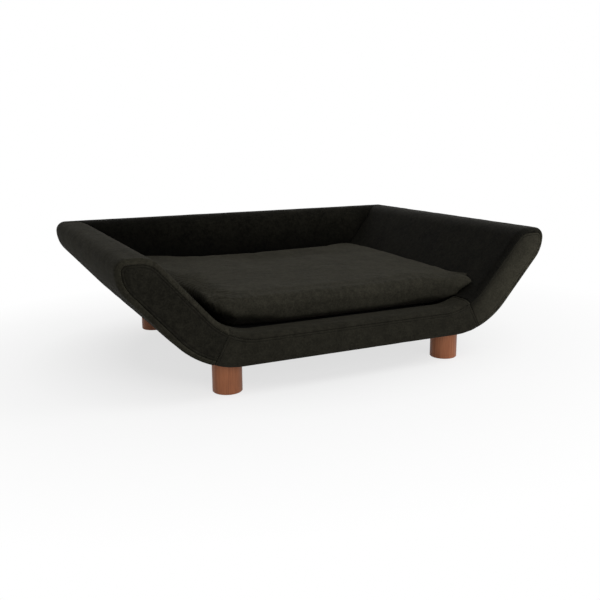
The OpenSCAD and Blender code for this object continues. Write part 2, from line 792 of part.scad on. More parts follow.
front_former();
inner_front_rail();
rear_panel();
base_panel();
left() arm_inner_board();  // left_arm_inner_board
arm_inner_board();  // right_arm_inner_board
left() arm_outer_board();  // left_arm_outer_board
arm_outer_board();  // right_arm_outer_board
left() arm_top_rail();  // left_arm_top_rail
arm_top_rail();  // right_arm_top_rail
left() arm_rib();  // left_arm_rib
arm_rib();  // right_arm_rib
back_top_rail();
front_base_cleat();
rear_base_cleat();
leg_blocks();
tee_nuts();
hanger_bolts();
frame_screws();
leg(-leg_x, leg_front_y);  // front_left_leg
leg(leg_x, leg_front_y);  // front_right_leg
leg(-leg_x, leg_rear_y);  // rear_left_leg
leg(leg_x, leg_rear_y);  // rear_right_leg
front_wadding();
rear_wadding();
left() arm_foam();  // left_arm_foam
arm_foam();  // right_arm_foam
rail_foam();
back_foam();
front_face_panel();
left() end_panel();  // left_end_panel
end_panel();  // right_end_panel
left() arm_cover();  // left_arm_cover
arm_cover();  // right_arm_cover
front_rail_cover();
inside_back_cover();
outside_back_panel();
deck_cloth();
dust_cover();
cushion_cover();
cushion_core();
zip_tape();
zip_slider();
zip_pull();
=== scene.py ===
import math

import bpy
from mathutils import Matrix, Vector, noise
from mathutils.geometry import delaunay_2d_cdt


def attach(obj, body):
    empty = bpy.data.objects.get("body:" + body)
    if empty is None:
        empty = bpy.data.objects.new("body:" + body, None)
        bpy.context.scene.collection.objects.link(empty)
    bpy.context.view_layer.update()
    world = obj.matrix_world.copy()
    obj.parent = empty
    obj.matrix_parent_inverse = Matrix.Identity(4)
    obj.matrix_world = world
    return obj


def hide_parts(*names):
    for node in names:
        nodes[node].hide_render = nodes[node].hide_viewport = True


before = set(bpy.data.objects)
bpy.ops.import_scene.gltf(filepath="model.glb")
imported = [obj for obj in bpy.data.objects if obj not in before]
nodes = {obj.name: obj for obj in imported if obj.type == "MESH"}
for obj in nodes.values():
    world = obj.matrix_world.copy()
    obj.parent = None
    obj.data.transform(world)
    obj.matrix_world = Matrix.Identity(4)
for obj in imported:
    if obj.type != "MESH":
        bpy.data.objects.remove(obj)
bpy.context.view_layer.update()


# Plywood boards, softwood battens and blocks of the hidden frame.
# Sawn sheet and planed battens, screwed and glued together; the sheet's edges show its plies.
def new_material(name, **constants):
    material = bpy.data.materials.new(name)
    material.use_nodes = True
    tree = material.node_tree
    shader = tree.nodes["Principled BSDF"]
    for key, value in constants.items():
        shader.inputs[key.replace("_", " ")].default_value = value
    return material, tree, shader


def add(tree, kind, inputs=None, **settings):
    made = tree.nodes.new(kind)
    for key, value in settings.items():
        setattr(made, key, value)
    for key, value in (inputs or {}).items():
        if isinstance(value, bpy.types.NodeSocket):
            tree.links.new(value, made.inputs[key])
        else:
            made.inputs[key].default_value = value
    return made


def place_of(tree, scale=(1, 1, 1)):
    coordinates = add(tree, "ShaderNodeTexCoord")
    mapping = add(tree, "ShaderNodeMapping",
                  {"Vector": coordinates.outputs["Object"], "Scale": scale})
    return mapping.outputs["Vector"]


def noise_of(tree, place, scale, detail=3.0, rough=0.55):
    return add(tree, "ShaderNodeTexNoise", {"Vector": place, "Scale": scale, "Detail": detail,
                                            "Roughness": rough}).outputs["Fac"]


def dot_of(tree, value, direction):
    return add(tree, "ShaderNodeVectorMath", {0: value, 1: direction},
               operation="DOT_PRODUCT").outputs["Value"]


def ramp(tree, factor, *stops):
    """Each stop is a place of the factor, and its colour or how light its gray is."""
    made = add(tree, "ShaderNodeValToRGB", {"Fac": factor})
    elements = made.color_ramp.elements
    while len(elements) < len(stops):
        elements.new(0.5)
    for element, (place, color) in zip(elements, stops):
        element.position = place
        element.color = (color, color, color, 1) if isinstance(color, float) else (*color, 1)
    return made.outputs["Color"]


def math_of(tree, operation, first, second=0.0):
    return add(tree, "ShaderNodeMath", {0: first, 1: second}, operation=operation).outputs[0]


def mix(tree, factor, first, second, blend="MIX"):
    made = add(tree, "ShaderNodeMix", {0: factor, 6: first, 7: second},
               data_type="RGBA", blend_type=blend)
    return made.outputs[2]


def shaded(tree, color, shade, share=1.0):
    return mix(tree, share, color, shade, "MULTIPLY")


def surface(tree, shader, color, height, distance, strength):
    tree.links.new(color, shader.inputs["Base Color"])
    made = add(tree, "ShaderNodeBump",
               {"Height": height, "Distance": distance, "Strength": strength})
    tree.links.new(made.outputs["Normal"], shader.inputs["Normal"])


def wood(name, light, dark, grain, plies=None):
    material, tree, shader = new_material(name, Roughness=0.62)
    fibres = noise_of(tree, place_of(tree, grain), 1.0, 6.0, 0.6)
    rings = noise_of(tree, place_of(tree, [share * 0.22 for share in grain]), 1.0, 3.0)
    color = ramp(tree, fibres, (0.32, dark), (0.55, light), (0.8, [c * 1.08 for c in light]))
    color = shaded(tree, color, ramp(tree, rings, (0.35, 0.82), (0.6, 1.0)))
    if plies:
        # A face that looks across the stack of veneers shows them and their dark glue lines
        facing = dot_of(tree, add(tree, "ShaderNodeNewGeometry").outputs["True Normal"], plies)
        edge = math_of(tree, "LESS_THAN", math_of(tree, "ABSOLUTE", facing), 0.7)
        along = dot_of(tree, place_of(tree), plies)
        # One turn of the stripes is a veneer of 1.5 mm
        stripe = math_of(tree, "SINE", math_of(tree, "MULTIPLY", along, 4200.0))
        layers = ramp(tree, stripe, (0.0, dark), (0.25, [c * 0.6 for c in dark]), (0.4, light))
        color = mix(tree, edge, color, layers)
    surface(tree, shader, color, fibres, 0.0003, 0.5)
    return material


def dress(material, *names):
    for name in names:
        piece = nodes[name]
        if not piece.material_slots:
            piece.data.materials.append(material)
        for material_slot in piece.material_slots:
            material_slot.material = material


BIRCH = (0.62, 0.45, 0.27)
BIRCH_DARK = (0.42, 0.27, 0.14)
PINE = (0.68, 0.49, 0.28)
PINE_DARK = (0.46, 0.28, 0.13)
dress(wood("plywood_upright", BIRCH, BIRCH_DARK, (9, 120, 90), (0, 1, 0)),
      "front_former", "inner_front_rail", "rear_panel")
dress(wood("plywood_flat", BIRCH, BIRCH_DARK, (9, 90, 120), (0, 0, 1)), "base_panel")
dress(wood("plywood_web", BIRCH, BIRCH_DARK, (90, 120, 9), (0, 1, 0)),
      "left_arm_rib", "right_arm_rib")
SIDES = ((-1, "left"), (1, "right"))
for side, name in SIDES:
    dress(wood("plywood_slanted_" + name, BIRCH, BIRCH_DARK, (90, 9, 90),
               (side * 0.749, 0, -0.663)),
          name + "_arm_inner_board", name + "_arm_outer_board")
dress(wood("pine_along", PINE, PINE_DARK, (160, 7, 160)),
      "left_arm_top_rail", "right_arm_top_rail", "leg_blocks")
dress(wood("pine_across", PINE, PINE_DARK, (7, 160, 160)),
      "back_top_rail", "front_base_cleat", "rear_base_cleat")


# Tee nuts, hanger bolts and frame screws.
# Pressed and rolled steel: bright zinc on nuts and bolts, yellow zinc on the screws.
def metal(name, color, rough, metallic=1.0):
    material, tree, shader = new_material(name, Metallic=metallic)
    cloudy = noise_of(tree, place_of(tree), 260.0, 4.0)
    scratches = noise_of(tree, place_of(tree, (900, 900, 60)), 1.0, 2.0)
    tint = ramp(tree, cloudy, (0.3, [c * 0.8 for c in color]), (0.7, color))
    spread = ramp(tree, scratches, (0.3, rough * 0.8), (0.7, rough * 1.25))
    tree.links.new(spread, shader.inputs["Roughness"])
    surface(tree, shader, tint, scratches, 0.00005, 0.4)
    return material


dress(metal("bright_zinc", (0.62, 0.64, 0.67), 0.34), "tee_nuts", "hanger_bolts")
dress(metal("yellow_zinc", (0.72, 0.55, 0.24), 0.36), "frame_screws")


# Four turned legs: stained and lacquered round hardwood.
# A straight cylinder with a small bevel at the foot, held by the hanger bolt in its top.
def leg_material():
    material, tree, shader = new_material("leg_wood", Roughness=0.45, Coat_Weight=0.06,
                                          Coat_Roughness=0.25, Specular_IOR_Level=0.25)
    fibres = noise_of(tree, place_of(tree, (330, 330, 14)), 1.0, 5.0, 0.62)
    figure = noise_of(tree, place_of(tree, (42, 42, 9)), 1.0, 2.0)
    color = ramp(tree, fibres, (0.28, (0.26, 0.090, 0.038)), (0.5, (0.38, 0.135, 0.058)),
                 (0.75, (0.45, 0.175, 0.080)))
    shade = ramp(tree, figure, (0.3, 0.78), (0.65, 1.05))
    surface(tree, shader, shaded(tree, color, shade), fibres, 0.0002, 0.35)
    return material


dress(leg_material(), "front_left_leg", "front_right_leg", "rear_left_leg", "rear_right_leg")


# Arm foam: sheets glued over the arm's boards, thick inside and over the roll, thin outside.
# This section also sets out the sofa's outline, which every cover and foam follows.
MM = 0.001
FRONT = -287.5
REAR = 287.5
UNDER = 53.0
DECK = 88.0
TOP = 241.0
HEM_X = 191.695
BEND_OUT = (206.995, 203.0, 150.0)
ROLL_SIDE = (344.083, 222.0, 59.917)
ROLL_OUT = (385.0, 222.0, 19.0)
ROLL_IN = (366.8, 198.0, 43.0)
BEND_IN = (180.242, 212.0, 106.0)
ARM_ANGLE = 48.5
ARM_SIN = math.sin(math.radians(ARM_ANGLE))
ARM_COS = math.cos(math.radians(ARM_ANGLE))
SLOPE_END = ARM_ANGLE - 90
SEAM = -62.0
IN_N = 100.518
RAIL_END = -237.5
LEG_PLACES = [(side * 218.995, y) for side in (-1, 1) for y in (-232.0, 235.0)]
LEG_HOLE_R = 25.4
# Below this height a point of the outline belongs to the underside
LOW_SIDE = 75


def at(circle, degrees, radius=None):
    reach = circle[2] if radius is None else radius
    turn = math.radians(degrees)
    return circle[0] + reach * math.cos(turn), circle[1] + reach * math.sin(turn)


def slope_x(across, z):
    return (across + z * ARM_COS) / ARM_SIN


def arc_stations(circle, first, last, step, hollow=False, skip=0):
    count = max(1, round(abs(math.radians(last - first)) * circle[2] / step))
    made = []
    for k in range(skip, count + 1):
        turn = first + (last - first) * k / count
        x, z = at(circle, turn)
        out = at((0, 0, -1 if hollow else 1), turn)
        made.append((x, z, *out))
    return made


def line_stations(a, b, step, skip=0):
    length = math.hypot(b[0] - a[0], b[1] - a[1])
    count = max(1, round(length / step))
    return [(a[0] + (b[0] - a[0]) * k / count, a[1] + (b[1] - a[1]) * k / count, a[2], a[3])
            for k in range(skip, count + 1)]


def inset(station, depth):
    return station[0] - station[2] * depth, station[1] - station[3] * depth


def outline_to_slope(step):
    """Right arm from the hem round the underside, up the outer side, over the roll and down
    to the end of the inner slope, with the number of the roll's top station."""
    made = line_stations((HEM_X, UNDER, 0, -1), (BEND_OUT[0], UNDER, 0, -1), step)
    made += arc_stations(BEND_OUT, -90, SLOPE_END, step, skip=1)
    roll = arc_stations(ROLL_SIDE, SLOPE_END, 0, step)
    made += line_stations(made[-1], roll[0], step, skip=1)
    made += roll[1:]
    made += arc_stations(ROLL_OUT, 0, 90, step * 0.65, skip=1)
    made += line_stations(made[-1], (ROLL_IN[0], TOP), step, skip=1)
    top = len(made) - 1
    made += arc_stations(ROLL_IN, 90, 90 + ARM_ANGLE, step * 0.8, skip=1)
    bend_start = arc_stations(BEND_IN, SLOPE_END, SLOPE_END, step, hollow=True)[0]
    made += line_stations(made[-1], bend_start, step, skip=1)
    return made, top


def rough_at(*place):
    return noise.noise(Vector(place))


def waves(x, y, z, *swells):
    """Soft unevenness of a cloth or foam: each swell is a height and a length."""
    return sum(height * rough_at(x / length, y / length, z / length) for height, length in swells)


def object_of(name, data):
    piece = bpy.data.objects.new(name, data)
    bpy.context.scene.collection.objects.link(piece)
    return piece


def mesh_piece(name, points, faces, material):
    mesh = bpy.data.meshes.new(name)
    mesh.from_pydata([(x * MM, y * MM, z * MM) for x, y, z in points], [], faces)
    mesh.update()
    mesh.shade_smooth()
    mesh.materials.append(material)
    return object_of(name, mesh)


def closed_shell(name, outer, inner, faces, material):
    """A closed piece from an open sheet of faces, its outer points and its inner points."""
    used = sorted({k for face in faces for k in face})
    number = {k: n for n, k in enumerate(used)}
    faces = [[number[k] for k in face] for face in faces]
    count = len(used)
    points = [outer[k] for k in used] + [inner[k] for k in used]
    seen = {}
    for face in faces:
        for k, a in enumerate(face):
            seen[(a, face[(k + 1) % len(face)])] = True
    solid = list(faces)
    solid += [[k + count for k in reversed(face)] for face in faces]
    solid += [[b, a, a + count, b + count] for a, b in seen if (b, a) not in seen]
    return mesh_piece(name, points, solid, material)


def skin(name, outer, faces, thickness, material):
    """A closed cloth of even thickness whose outer side is the given sheet of faces."""
    mesh = bpy.data.meshes.new("scratch")
    mesh.from_pydata(outer, [], faces)
    mesh.update()
    inner = [[c - thickness * n for c, n in zip(vertex.co, vertex.normal)]
             for vertex in mesh.vertices]
    bpy.data.meshes.remove(mesh)
    return closed_shell(name, outer, inner, faces, material)


class Sheet:
    """Points on a grid with any keys, and the faces between them."""

    def __init__(self):
        self.number = {}
        self.points = []
        self.inner = []
        self.faces = []

    def put(self, key, point, inner=None):
        self.number[key] = len(self.points)
        self.points.append(point)
        self.inner.append(inner)

    def face(self, *keys):
        if all(key in self.number for key in keys):
            self.faces.append([self.number[key] for key in keys])

    def strips(self, rows, columns, flip=False):
        """Faces between each row of points and the next, where all four points are there."""
        for a, b in zip(rows, rows[1:]):
            for j in range(columns - 1):
                keys = [(a, j), (b, j), (b, j + 1), (a, j + 1)]
                self.face(*(reversed(keys) if flip else keys))


def arm_strips(sheet, counts, columns, side):
    """An arm's faces: along its outline and on into the rail's bend, and down to the deck."""
    main, bend, down = ([(name, k) for k in range(count)]
                        for name, count in zip(("main", "bend", "down"), counts))
    sheet.strips(main + bend, columns, side > 0)
    sheet.strips(main[-1:] + down, columns, side > 0)


def underside_z(x):
    over = max(0.0, abs(x) - BEND_OUT[0])
    return BEND_OUT[1] - math.sqrt(BEND_OUT[2] ** 2 - over ** 2)


def open_leg_holes(points, faces, also=()):
    """Takes the faces over the legs away and draws the holes' edges onto a circle."""
    kept = []
    gone = set()
    for face in faces:
        x, y, z = (sum(axis) / len(face) for axis in zip(*(points[k] for k in face)))
        near = any(math.hypot(x - a, y - b) < LEG_HOLE_R for a, b in LEG_PLACES)
        if near and z < LOW_SIDE:
            gone.update(face)
        else:
            kept.append(face)
    for k in gone & {k for face in kept for k in face}:
        for store in (points, *also):
            x, y, z = store[k]
            a, b = min(LEG_PLACES, key=lambda leg: math.hypot(x - leg[0], y - leg[1]))
            reach = math.hypot(x - a, y - b)
            new_x = a + (x - a) * LEG_HOLE_R / reach
            new_y = b + (y - b) * LEG_HOLE_R / reach
            store[k] = (new_x, new_y, z + underside_z(new_x) - underside_z(x))
    return kept


def foam_material():
    material, tree, shader = new_material("foam", Roughness=0.95, Subsurface_Weight=0.1,
                                          Subsurface_Radius=(0.004, 0.003, 0.002))
    color = (0.82, 0.74, 0.50)
    cells = add(tree, "ShaderNodeTexVoronoi",
                {"Vector": place_of(tree), "Scale": 900.0}).outputs["Distance"]
    clouds = noise_of(tree, place_of(tree), 30.0, 4.0)
    tint = ramp(tree, clouds, (0.3, [c * 0.9 for c in color]), (0.7, color))
    # Painted shade: the open cells darken towards their middles, where the bump sinks
    holes = ramp(tree, cells, (0.0, 0.7), (0.4, 1.0))
    surface(tree, shader, shaded(tree, tint, holes, 0.6), cells, 0.0006, 0.6)
    return material


def in_place_of(piece, node, body="root"):
    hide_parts(node)
    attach(piece, body)


def padding(piece, node, body="root"):
    in_place_of(piece, node, body)


foam = foam_material()
# How deep the foam lies below the covers' outer side, and where it begins at the front
FOAM_DEPTH = 2.2
FOAM_FRONT = -281.8


def arm_foam(side, hand):
    sheet = Sheet()
    stations, _ = outline_to_slope(6.0)
    bend = arc_stations(BEND_IN, SLOPE_END, SEAM + 0.3, 6.0, hollow=True, skip=1)
    low = (slope_x(IN_N, DECK + 12), DECK + 12, *stations[-1][2:])
    down = line_stations(stations[-1], low, 6.0, skip=1)
    columns = [FOAM_FRONT, -276, -270, -264, -258, -252.2] + [-246 + 6 * k for k in range(85)]
    columns += [262, 266.6]

    def put_row(key, station, chosen, share):
        for j in chosen:
            y = columns[j]
            swell = waves(side * station[0], y, station[1], (0.4, 40.0))
            places = []
            for depth in (FOAM_DEPTH, FOAM_DEPTH + (2.2 + 8.9 * share)):
                x, z = inset(station, depth + swell)
                places.append((side * x, y, z))
            sheet.put((key, j), *places)

    for k, station in enumerate(stations):
        share = (ROLL_OUT[0] - station[0]) / (ROLL_OUT[0] - ROLL_IN[0]) if station[3] > 0 else 0.0
        put_row(("main", k), station, range(len(columns)), min(1.0, max(0.0, share)))
    for k, station in enumerate(bend):
        put_row(("bend", k), station, range(6), 1.0)
    for k, station in enumerate(down):
        put_row(("down", k), station, range(5, len(columns)), 1.0)
    arm_strips(sheet, (len(stations), len(bend), len(down)), len(columns), side)
    faces = open_leg_holes(sheet.points, sheet.faces, [sheet.inner])
    piece = closed_shell(hand + "_arm_pad", sheet.points, sheet.inner, faces, foam)
    padding(piece, hand + "_arm_foam")


for side, hand in SIDES:
    arm_foam(side, hand)


# Rail foam and back foam: cut blocks glued to the boards, rounded where the cover runs over.
# The rail's foam is moulded over both front boards, the back's against the rear board.
def swept(name, sections, material):
    """A closed bar through matching closed sections."""
    per = len(sections[0])
    points = [point for section in sections for point in section]
    faces = []
    for k in range(len(sections) - 1):
        for j in range(per):
            a = k * per + j
            b = k * per + (j + 1) % per
            faces.append([a, b, b + per, a + per])
    faces.append(list(range(per))[::-1])
    faces.append([(len(sections) - 1) * per + j for j in range(per)])
    return mesh_piece(name, points, faces, material)


def rail_stations(step, first):
    right = arc_stations(BEND_IN, first, -90, step, hollow=True)
    left = [(-x, z, -nx, nz) for x, z, nx, nz in reversed(right)]
    flat = line_stations(right[-1], left[0], step, skip=1)
    return right + flat + left[1:]


def rail_foam():
    high = 2.1
    board = 13.0
    board_y = -251.8
    inner_y = -239.6
    sections = []
    for station in rail_stations(6.0, SEAM - 0.4):
        bottom = (station[1] - DECK - 0.3) / station[3]
        corners = [(board, FOAM_FRONT), (high, FOAM_FRONT)]
        corners += [(high, FOAM_FRONT + 7 * k) for k in range(1, 6)]
        corners += [(high, inner_y - 2), (3.4, inner_y), (bottom, inner_y), (bottom, board_y),
                    (board, board_y)]
        section = []
        for depth, y in corners:
            x, z = inset(station, depth + 0.3 * rough_at(station[0] / 30, y / 30, 0))
            section.append((x, y, z))
        sections.append(section)
    padding(swept("rail_pad", sections, foam), "rail_foam")


rail_foam()

LEAN = 10.008
LEAN_TURN = math.radians(LEAN)
BACK_ARC = (259.669, 211.0, 30.0)
# Height at which an arm's inner slope goes over into its roll
ROLL_START_Z = 226.5


def back_y(z):
    return 207.5 + (z - DECK) * math.tan(LEAN_TURN)


def arm_face_x(z):
    """Half the width between the arms' inner faces, and over the rolls, at height z."""
    if z < ROLL_START_Z:
        return slope_x(IN_N, z)
    return ROLL_IN[0] - math.sqrt(max(0.0, ROLL_IN[2] ** 2 - (z - ROLL_IN[1]) ** 2))


def back_foam():
    foot = DECK + 0.2
    top = 238.8
    rear_y = 281.6
    board_y = 266.7
    batten_y = 246.6
    batten_low = 202.2
    batten_top = 228
    section = [(board_y, foot), (back_y(DECK) + FOAM_DEPTH, foot)]
    section += [(back_y(z) + FOAM_DEPTH, z) for z in range(94, 206, 6)]
    section += [at(BACK_ARC, 180 - LEAN - (90 - LEAN) * k / 8, BACK_ARC[2] - FOAM_DEPTH)
                for k in range(9)]
    section += [(265, top), (272, top), (rear_y, top), (rear_y, batten_top),
                (batten_y, batten_top), (batten_y, batten_low), (board_y, batten_low)]
    sections = []
    for k in range(101):
        share = k / 50 - 1
        sections.append([(share * (arm_face_x(z) - 1.4), y + 0.4 * rough_at(share * 9, y / 30, z / 30),
                          z) for y, z in section])
    padding(swept("back_pad", sections, foam), "back_foam")


back_foam()


# Waddings: soft white fibre sheets between the front and rear boards and their covers.
# Cut to the outline inside the seams and stapled to the boards.
def fibre_material():
    material, tree, shader = new_material("wadding", Roughness=1.0, Sheen_Weight=0.3)
    fibres = noise_of(tree, place_of(tree, (500, 180, 900)), 1.0, 6.0, 0.75)
    tint = ramp(tree, fibres, (0.3, (0.70, 0.70, 0.68)), (0.7, (0.90, 0.90, 0.88)))
    surface(tree, shader, tint, fibres, 0.0008, 0.7)
    return material


def ring_inside(boundary, distance):
    """Points at a distance inside a closed boundary that runs counter-clockwise."""
    made = []
    count = len(boundary)
    for k in range(count):
        a, p, b = boundary[k - 1], boundary[k], boundary[(k + 1) % count]
        along = Vector((b[0] - a[0], b[1] - a[1])).normalized()
        q = Vector(p) + Vector((-along[1], along[0])) * distance
        if distance_to(boundary, q) > distance * 0.93:
            made.append((q[0], q[1]))
    return made


def distance_to(line, q, closed=True):
    """How far a point lies from a line of points."""
    best = 1e9
    for (ax, az), (bx, bz) in zip(line, line[1:] + line[:1] if closed else line[1:]):
        dx, dz = bx - ax, bz - az
        share = ((q[0] - ax) * dx + (q[1] - az) * dz) / (dx * dx + dz * dz)
        share = min(1.0, max(0.0, share))
        best = min(best, math.hypot(q[0] - ax - share * dx, q[1] - az - share * dz))
    return best


def inside(boundary, q):
    odd = False
    for (ax, az), (bx, bz) in zip(boundary, boundary[1:] + boundary[:1]):
        if (az > q[1]) != (bz > q[1]) and q[0] < ax + (q[1] - az) * (bx - ax) / (bz - az):
            odd = not odd
    return odd


def divided(a, b, step):
    """Points from a on towards b, every step or so, without b."""
    count = max(1, round(math.hypot(b[0] - a[0], b[1] - a[1]) / step))
    return [(a[0] + (b[0] - a[0]) * k / count, a[1] + (b[1] - a[1]) * k / count)
            for k in range(count)]


def spaced(points, step):
    """The closed boundary with points every step or so, and its corners kept."""
    return [p for a, b in zip(points, points[1:] + points[:1]) for p in divided(a, b, step)]


def fill(boundary, rings, step):
    """Triangles over a flat shape: its boundary, rings inside it and a regular grid."""
    points = list(boundary)
    for distance in rings:
        points += ring_inside(boundary, distance)
    last = (rings[-1] if rings else 0) + step * 0.55
    (low_x, high_x), (low_z, high_z) = ((min(axis), max(axis)) for axis in zip(*boundary))
    # The height of an even triangle, as a share of its side
    tall = 0.866
    rows = int((high_z - low_z) / (step * tall)) + 1
    for row in range(rows + 1):
        z = low_z + row * step * tall
        x = low_x + (step / 2 if row % 2 else 0)
        while x < high_x:
            if inside(boundary, (x, z)) and distance_to(boundary, (x, z)) > last:
                points.append((x, z))
            x += step
    count = len(boundary)
    edges = [(k, (k + 1) % count) for k in range(count)]
    result = delaunay_2d_cdt([Vector(p) for p in points], edges, [], 1, 1e-4)
    return [(p[0], p[1]) for p in result[0]], [list(face) for face in result[2]]


def both_sides(right):
    """The right half from the middle of the bottom, counter-clockwise, and its mirror image."""
    return right + [(-x, z) for x, z in reversed(right) if abs(x) > 0.01]


RAIL_TOP = 106


def wadding(name, node, low_y, high_y, top_only):
    depth = 9.2
    outline, top = outline_to_slope(8.0)
    right = [(0, UNDER + depth)]
    right += [inset(s, depth) for s in (outline[:top + 1] if top_only else outline)]
    if not top_only:
        right += [inset(s, depth) for s in rail_stations(8.0, SLOPE_END) if s[0] > 1][1:]
        right.append((0, RAIL_TOP - depth))
    boundary = spaced(both_sides(right), 8.0)
    flat, faces = fill(boundary, [], 8.0)
    outer = []
    inner = []
    for x, z in flat:
        loft = abs(0.25 * rough_at(x / 14, z / 14, low_y))
        edge = 0.4 if distance_to(boundary, (x, z)) < 1 else 0.0
        outer.append((x, low_y + 0.2 + edge + loft, z))
        inner.append((x, high_y - 0.2 - edge - loft, z))
    padding(closed_shell(name, outer, inner, faces, fibre), node)


fibre = fibre_material()
wadding("front_fibre", "front_wadding", -285.2, -282.0, False)
wadding("rear_fibre", "rear_wadding", 282.0, 285.2, True)


# Arm covers: near-black short-nap velvet, drawn over each arm from the hem underneath to the deck.
# Each turns 9 mm onto the front and rear face, where it is sewn to the flat end panels.
def velvet(name, level, patch=85.0, contrast=1.0, gloss=0.04, painted_shades=()):
    """Short pile with its nap brushed one way: level is how light it looks, painted light and
    shade included. Each painted shade is a direction of the piece, an offset along it, and where it
    gets lighter or darker."""
    tint = (1.05, 0.98, 0.71)
    dark = [level * share * (1 - 0.23 * contrast) for share in tint]
    light = [level * share * (1 + 0.23 * contrast) for share in tint]
    middle = [(a + b) / 2 for a, b in zip(dark, light)]
    material, tree, shader = new_material(
        name, Roughness=0.8, Specular_IOR_Level=gloss, Sheen_Weight=0.02, Sheen_Roughness=0.38,
        Sheen_Tint=(0.66, 0.62, 0.54, 1))
    patches = noise_of(tree, place_of(tree), patch, 4.0, 0.68)
    strokes = noise_of(tree, place_of(tree, (1, 1, 0.6)), 24.0, 2.0)
    flecks = noise_of(tree, place_of(tree), 330.0, 2.0)
    pile = noise_of(tree, place_of(tree), 1150.0, 2.0, 0.7)
    mottle = weighted(tree, (patches, 0.42), (strokes, 0.18), (flecks, 0.4))
    color = ramp(tree, mottle, (0.40, dark), (0.5, middle), (0.60, light))
    color = shaded(tree, color, ramp(tree, pile, (0.3, 0.7), (0.7, 1.3)))
    # Painted shade and painted highlight: each ramp darkens or lightens the colour along one direction
    # of the piece
    for along, offset, stops in painted_shades:
        way = math_of(tree, "ADD", dot_of(tree, place_of(tree), along), offset)
        color = shaded(tree, color, ramp(tree, way, *stops))
    surface(tree, shader, color, weighted(tree, (pile, 0.6), (patches, 1.0)), 0.0007, 0.6)
    return material


def weighted(tree, *parts):
    """The sum of several values, each times its weight."""
    made = [math_of(tree, "MULTIPLY", value, weight) for value, weight in parts]
    total = made[0]
    for value in made[1:]:
        total = math_of(tree, "ADD", total, value)
    return total


ACROSS_ARM = (ARM_SIN, 0, -ARM_COS)
FORWARD = (0, -1, 0)
TO_FRONT_INSIDE = [a - 0.5 * f for a, f in zip(ACROSS_ARM, FORWARD)]
UPWARD = (0, 0, 1)
RIGHTWARD = (1, 0, 0)
# One velvet for every piece, with its own level and ramps: the levels differ partly by the nap of each
# cut piece and partly as painted light and shade, and the ramps are painted shade and painted
# highlight
VELVETS_NAP_AND_SHADE = {
    # Left arm: painted shade darkens its turned front edge
    "left_arm": velvet("velvet_left_arm", 0.025, 95.0, 1.5, 0.019,
                       [(FORWARD, 0, ((0.274, 0.74), (0.284, 1.0)))]),
    # Right arm: painted shade darkens its inner face and the valley beside its front seam, and a
    # painted highlight lightens its outer edge
    "right_arm": velvet("velvet_right_arm", 0.034, 105.0, 3.0, 0.048,
                        [(ACROSS_ARM, 0, ((0.106, 0.17), (0.140, 0.40), (0.165, 1.3))),
                         (TO_FRONT_INSIDE, 0.1, ((0.057, 0.45), (0.0745, 1.0)))]),
    "rail": velvet("velvet_rail", 0.018, 85.0, 1.3),
    # End panels: their different levels stand partly for the nap and partly for painted light, lighter
    # on the right; the right panel's ramps are painted shade, darker beside its inner seam and towards
    # its foot
    "left_end": velvet("velvet_left_end", 0.0130, 95.0, 1.7),
    "right_end": velvet("velvet_right_end", 0.046, 85.0, 1.1, 0.04,
                        [(ACROSS_ARM, 0, ((0.108, 0.25), (0.124, 0.60), (0.150, 0.85),
                                          (0.166, 1.05))),
                         (UPWARD, 0, ((0.08, 0.80), (0.17, 1.0)))]),
    # Back: its low level and its ramps are painted shade, darker towards the bottom, towards the left
    # and in the corner by the right arm
    "back": velvet("velvet_back", 0.0076, 95.0, 2.6, 0.024,
                   [(UPWARD, 0, ((0.155, 0.25), (0.215, 1.0))),
                    (RIGHTWARD, 0.4, ((0.08, 0.35), (0.30, 0.85), (0.45, 1.0), (0.68, 1.0),
                                      (0.72, 0.5)))]),
    "rear": velvet("velvet_rear", 0.022)}
COVER = 1.5
EDGE = 9.0
SEW_GAP = 0.012
SEAM_TURN = 0.004
SEAM_FOOT = -69.4294
# Places from a seam inwards, and how deep the cloth lies there: the seam, then the top-stitch
SEAM_STEPS = [(0.0, 1.6), (0.8, 0.75), (1.8, 0.15), (3.0, 0.04), (3.8, 0.4), (4.5, 1.15),
              (5.2, 0.4), (6.3, 0.04), (8.0, 0.0)]
PLAIN_FROM = 2.6


def seam_depth(distance, stitched=True):
    """How far the cloth lies below its level at a distance from a seam."""
    if distance > PLAIN_FROM and not stitched:
        return 0.0
    for (d0, h0), (d1, h1) in zip(SEAM_STEPS, SEAM_STEPS[1:]):
        if distance < d1:
            return h0 + (h1 - h0) * (distance - d0) / (d1 - d0)
    return 0.0


def pucker_at(place):
    """The cloth's small gathers along a top-stitch."""
    return 0.22 * rough_at(place / 4.2, 3.1, 7.7)


def quarter_turn(radius, *turns):
    """How far in and how far back a rounded edge goes, at some turns of it in degrees."""
    return [(radius * (1 - math.sin(math.radians(turn))), radius * (1 - math.cos(math.radians(turn))))
            for turn in turns]


def edge_profile():
    """The front edge from the seam round to the side, as insets and depths."""
    made = [(EDGE - SEW_GAP, 2.0), (EDGE - 0.15, 1.0), (EDGE - 0.75, 0.35)]
    return made + quarter_turn(EDGE, 10, 21, 33, 46, 60, 75, 90)


def stretched(piece, node, body="root"):
    in_place_of(piece, node, body)


def seam_stations(sign, stitched):
    """Stations of the inner bend beside the slanted seam, each with the depth of its cloth."""
    made = []
    for distance, _ in SEAM_STEPS:
        turn = SEAM + sign * (SEAM_TURN + math.degrees(distance / BEND_IN[2]))
        made.append((arc_stations(BEND_IN, turn, turn, 1.0, hollow=True)[0],
                     seam_depth(distance, stitched)))
    return made


REAR_R = 1.2
REAR_TURNS = (0, 35, 65, 90)
# Where the front edge's even run of rows ends and the turn down behind the rail begins
BODY_END = -247.5
BODY_RUN = BODY_END - FRONT - EDGE
# Degrees from a slanted seam to the first even row of the bend
BESIDE_SEAM = 4.5
# How deep an arm's cover lies under the front panel's hem
UNDER_HEM = 2.6
# Behind this place an arm's cover ends at the top of its roll
ROLL_ONLY_Y = 267


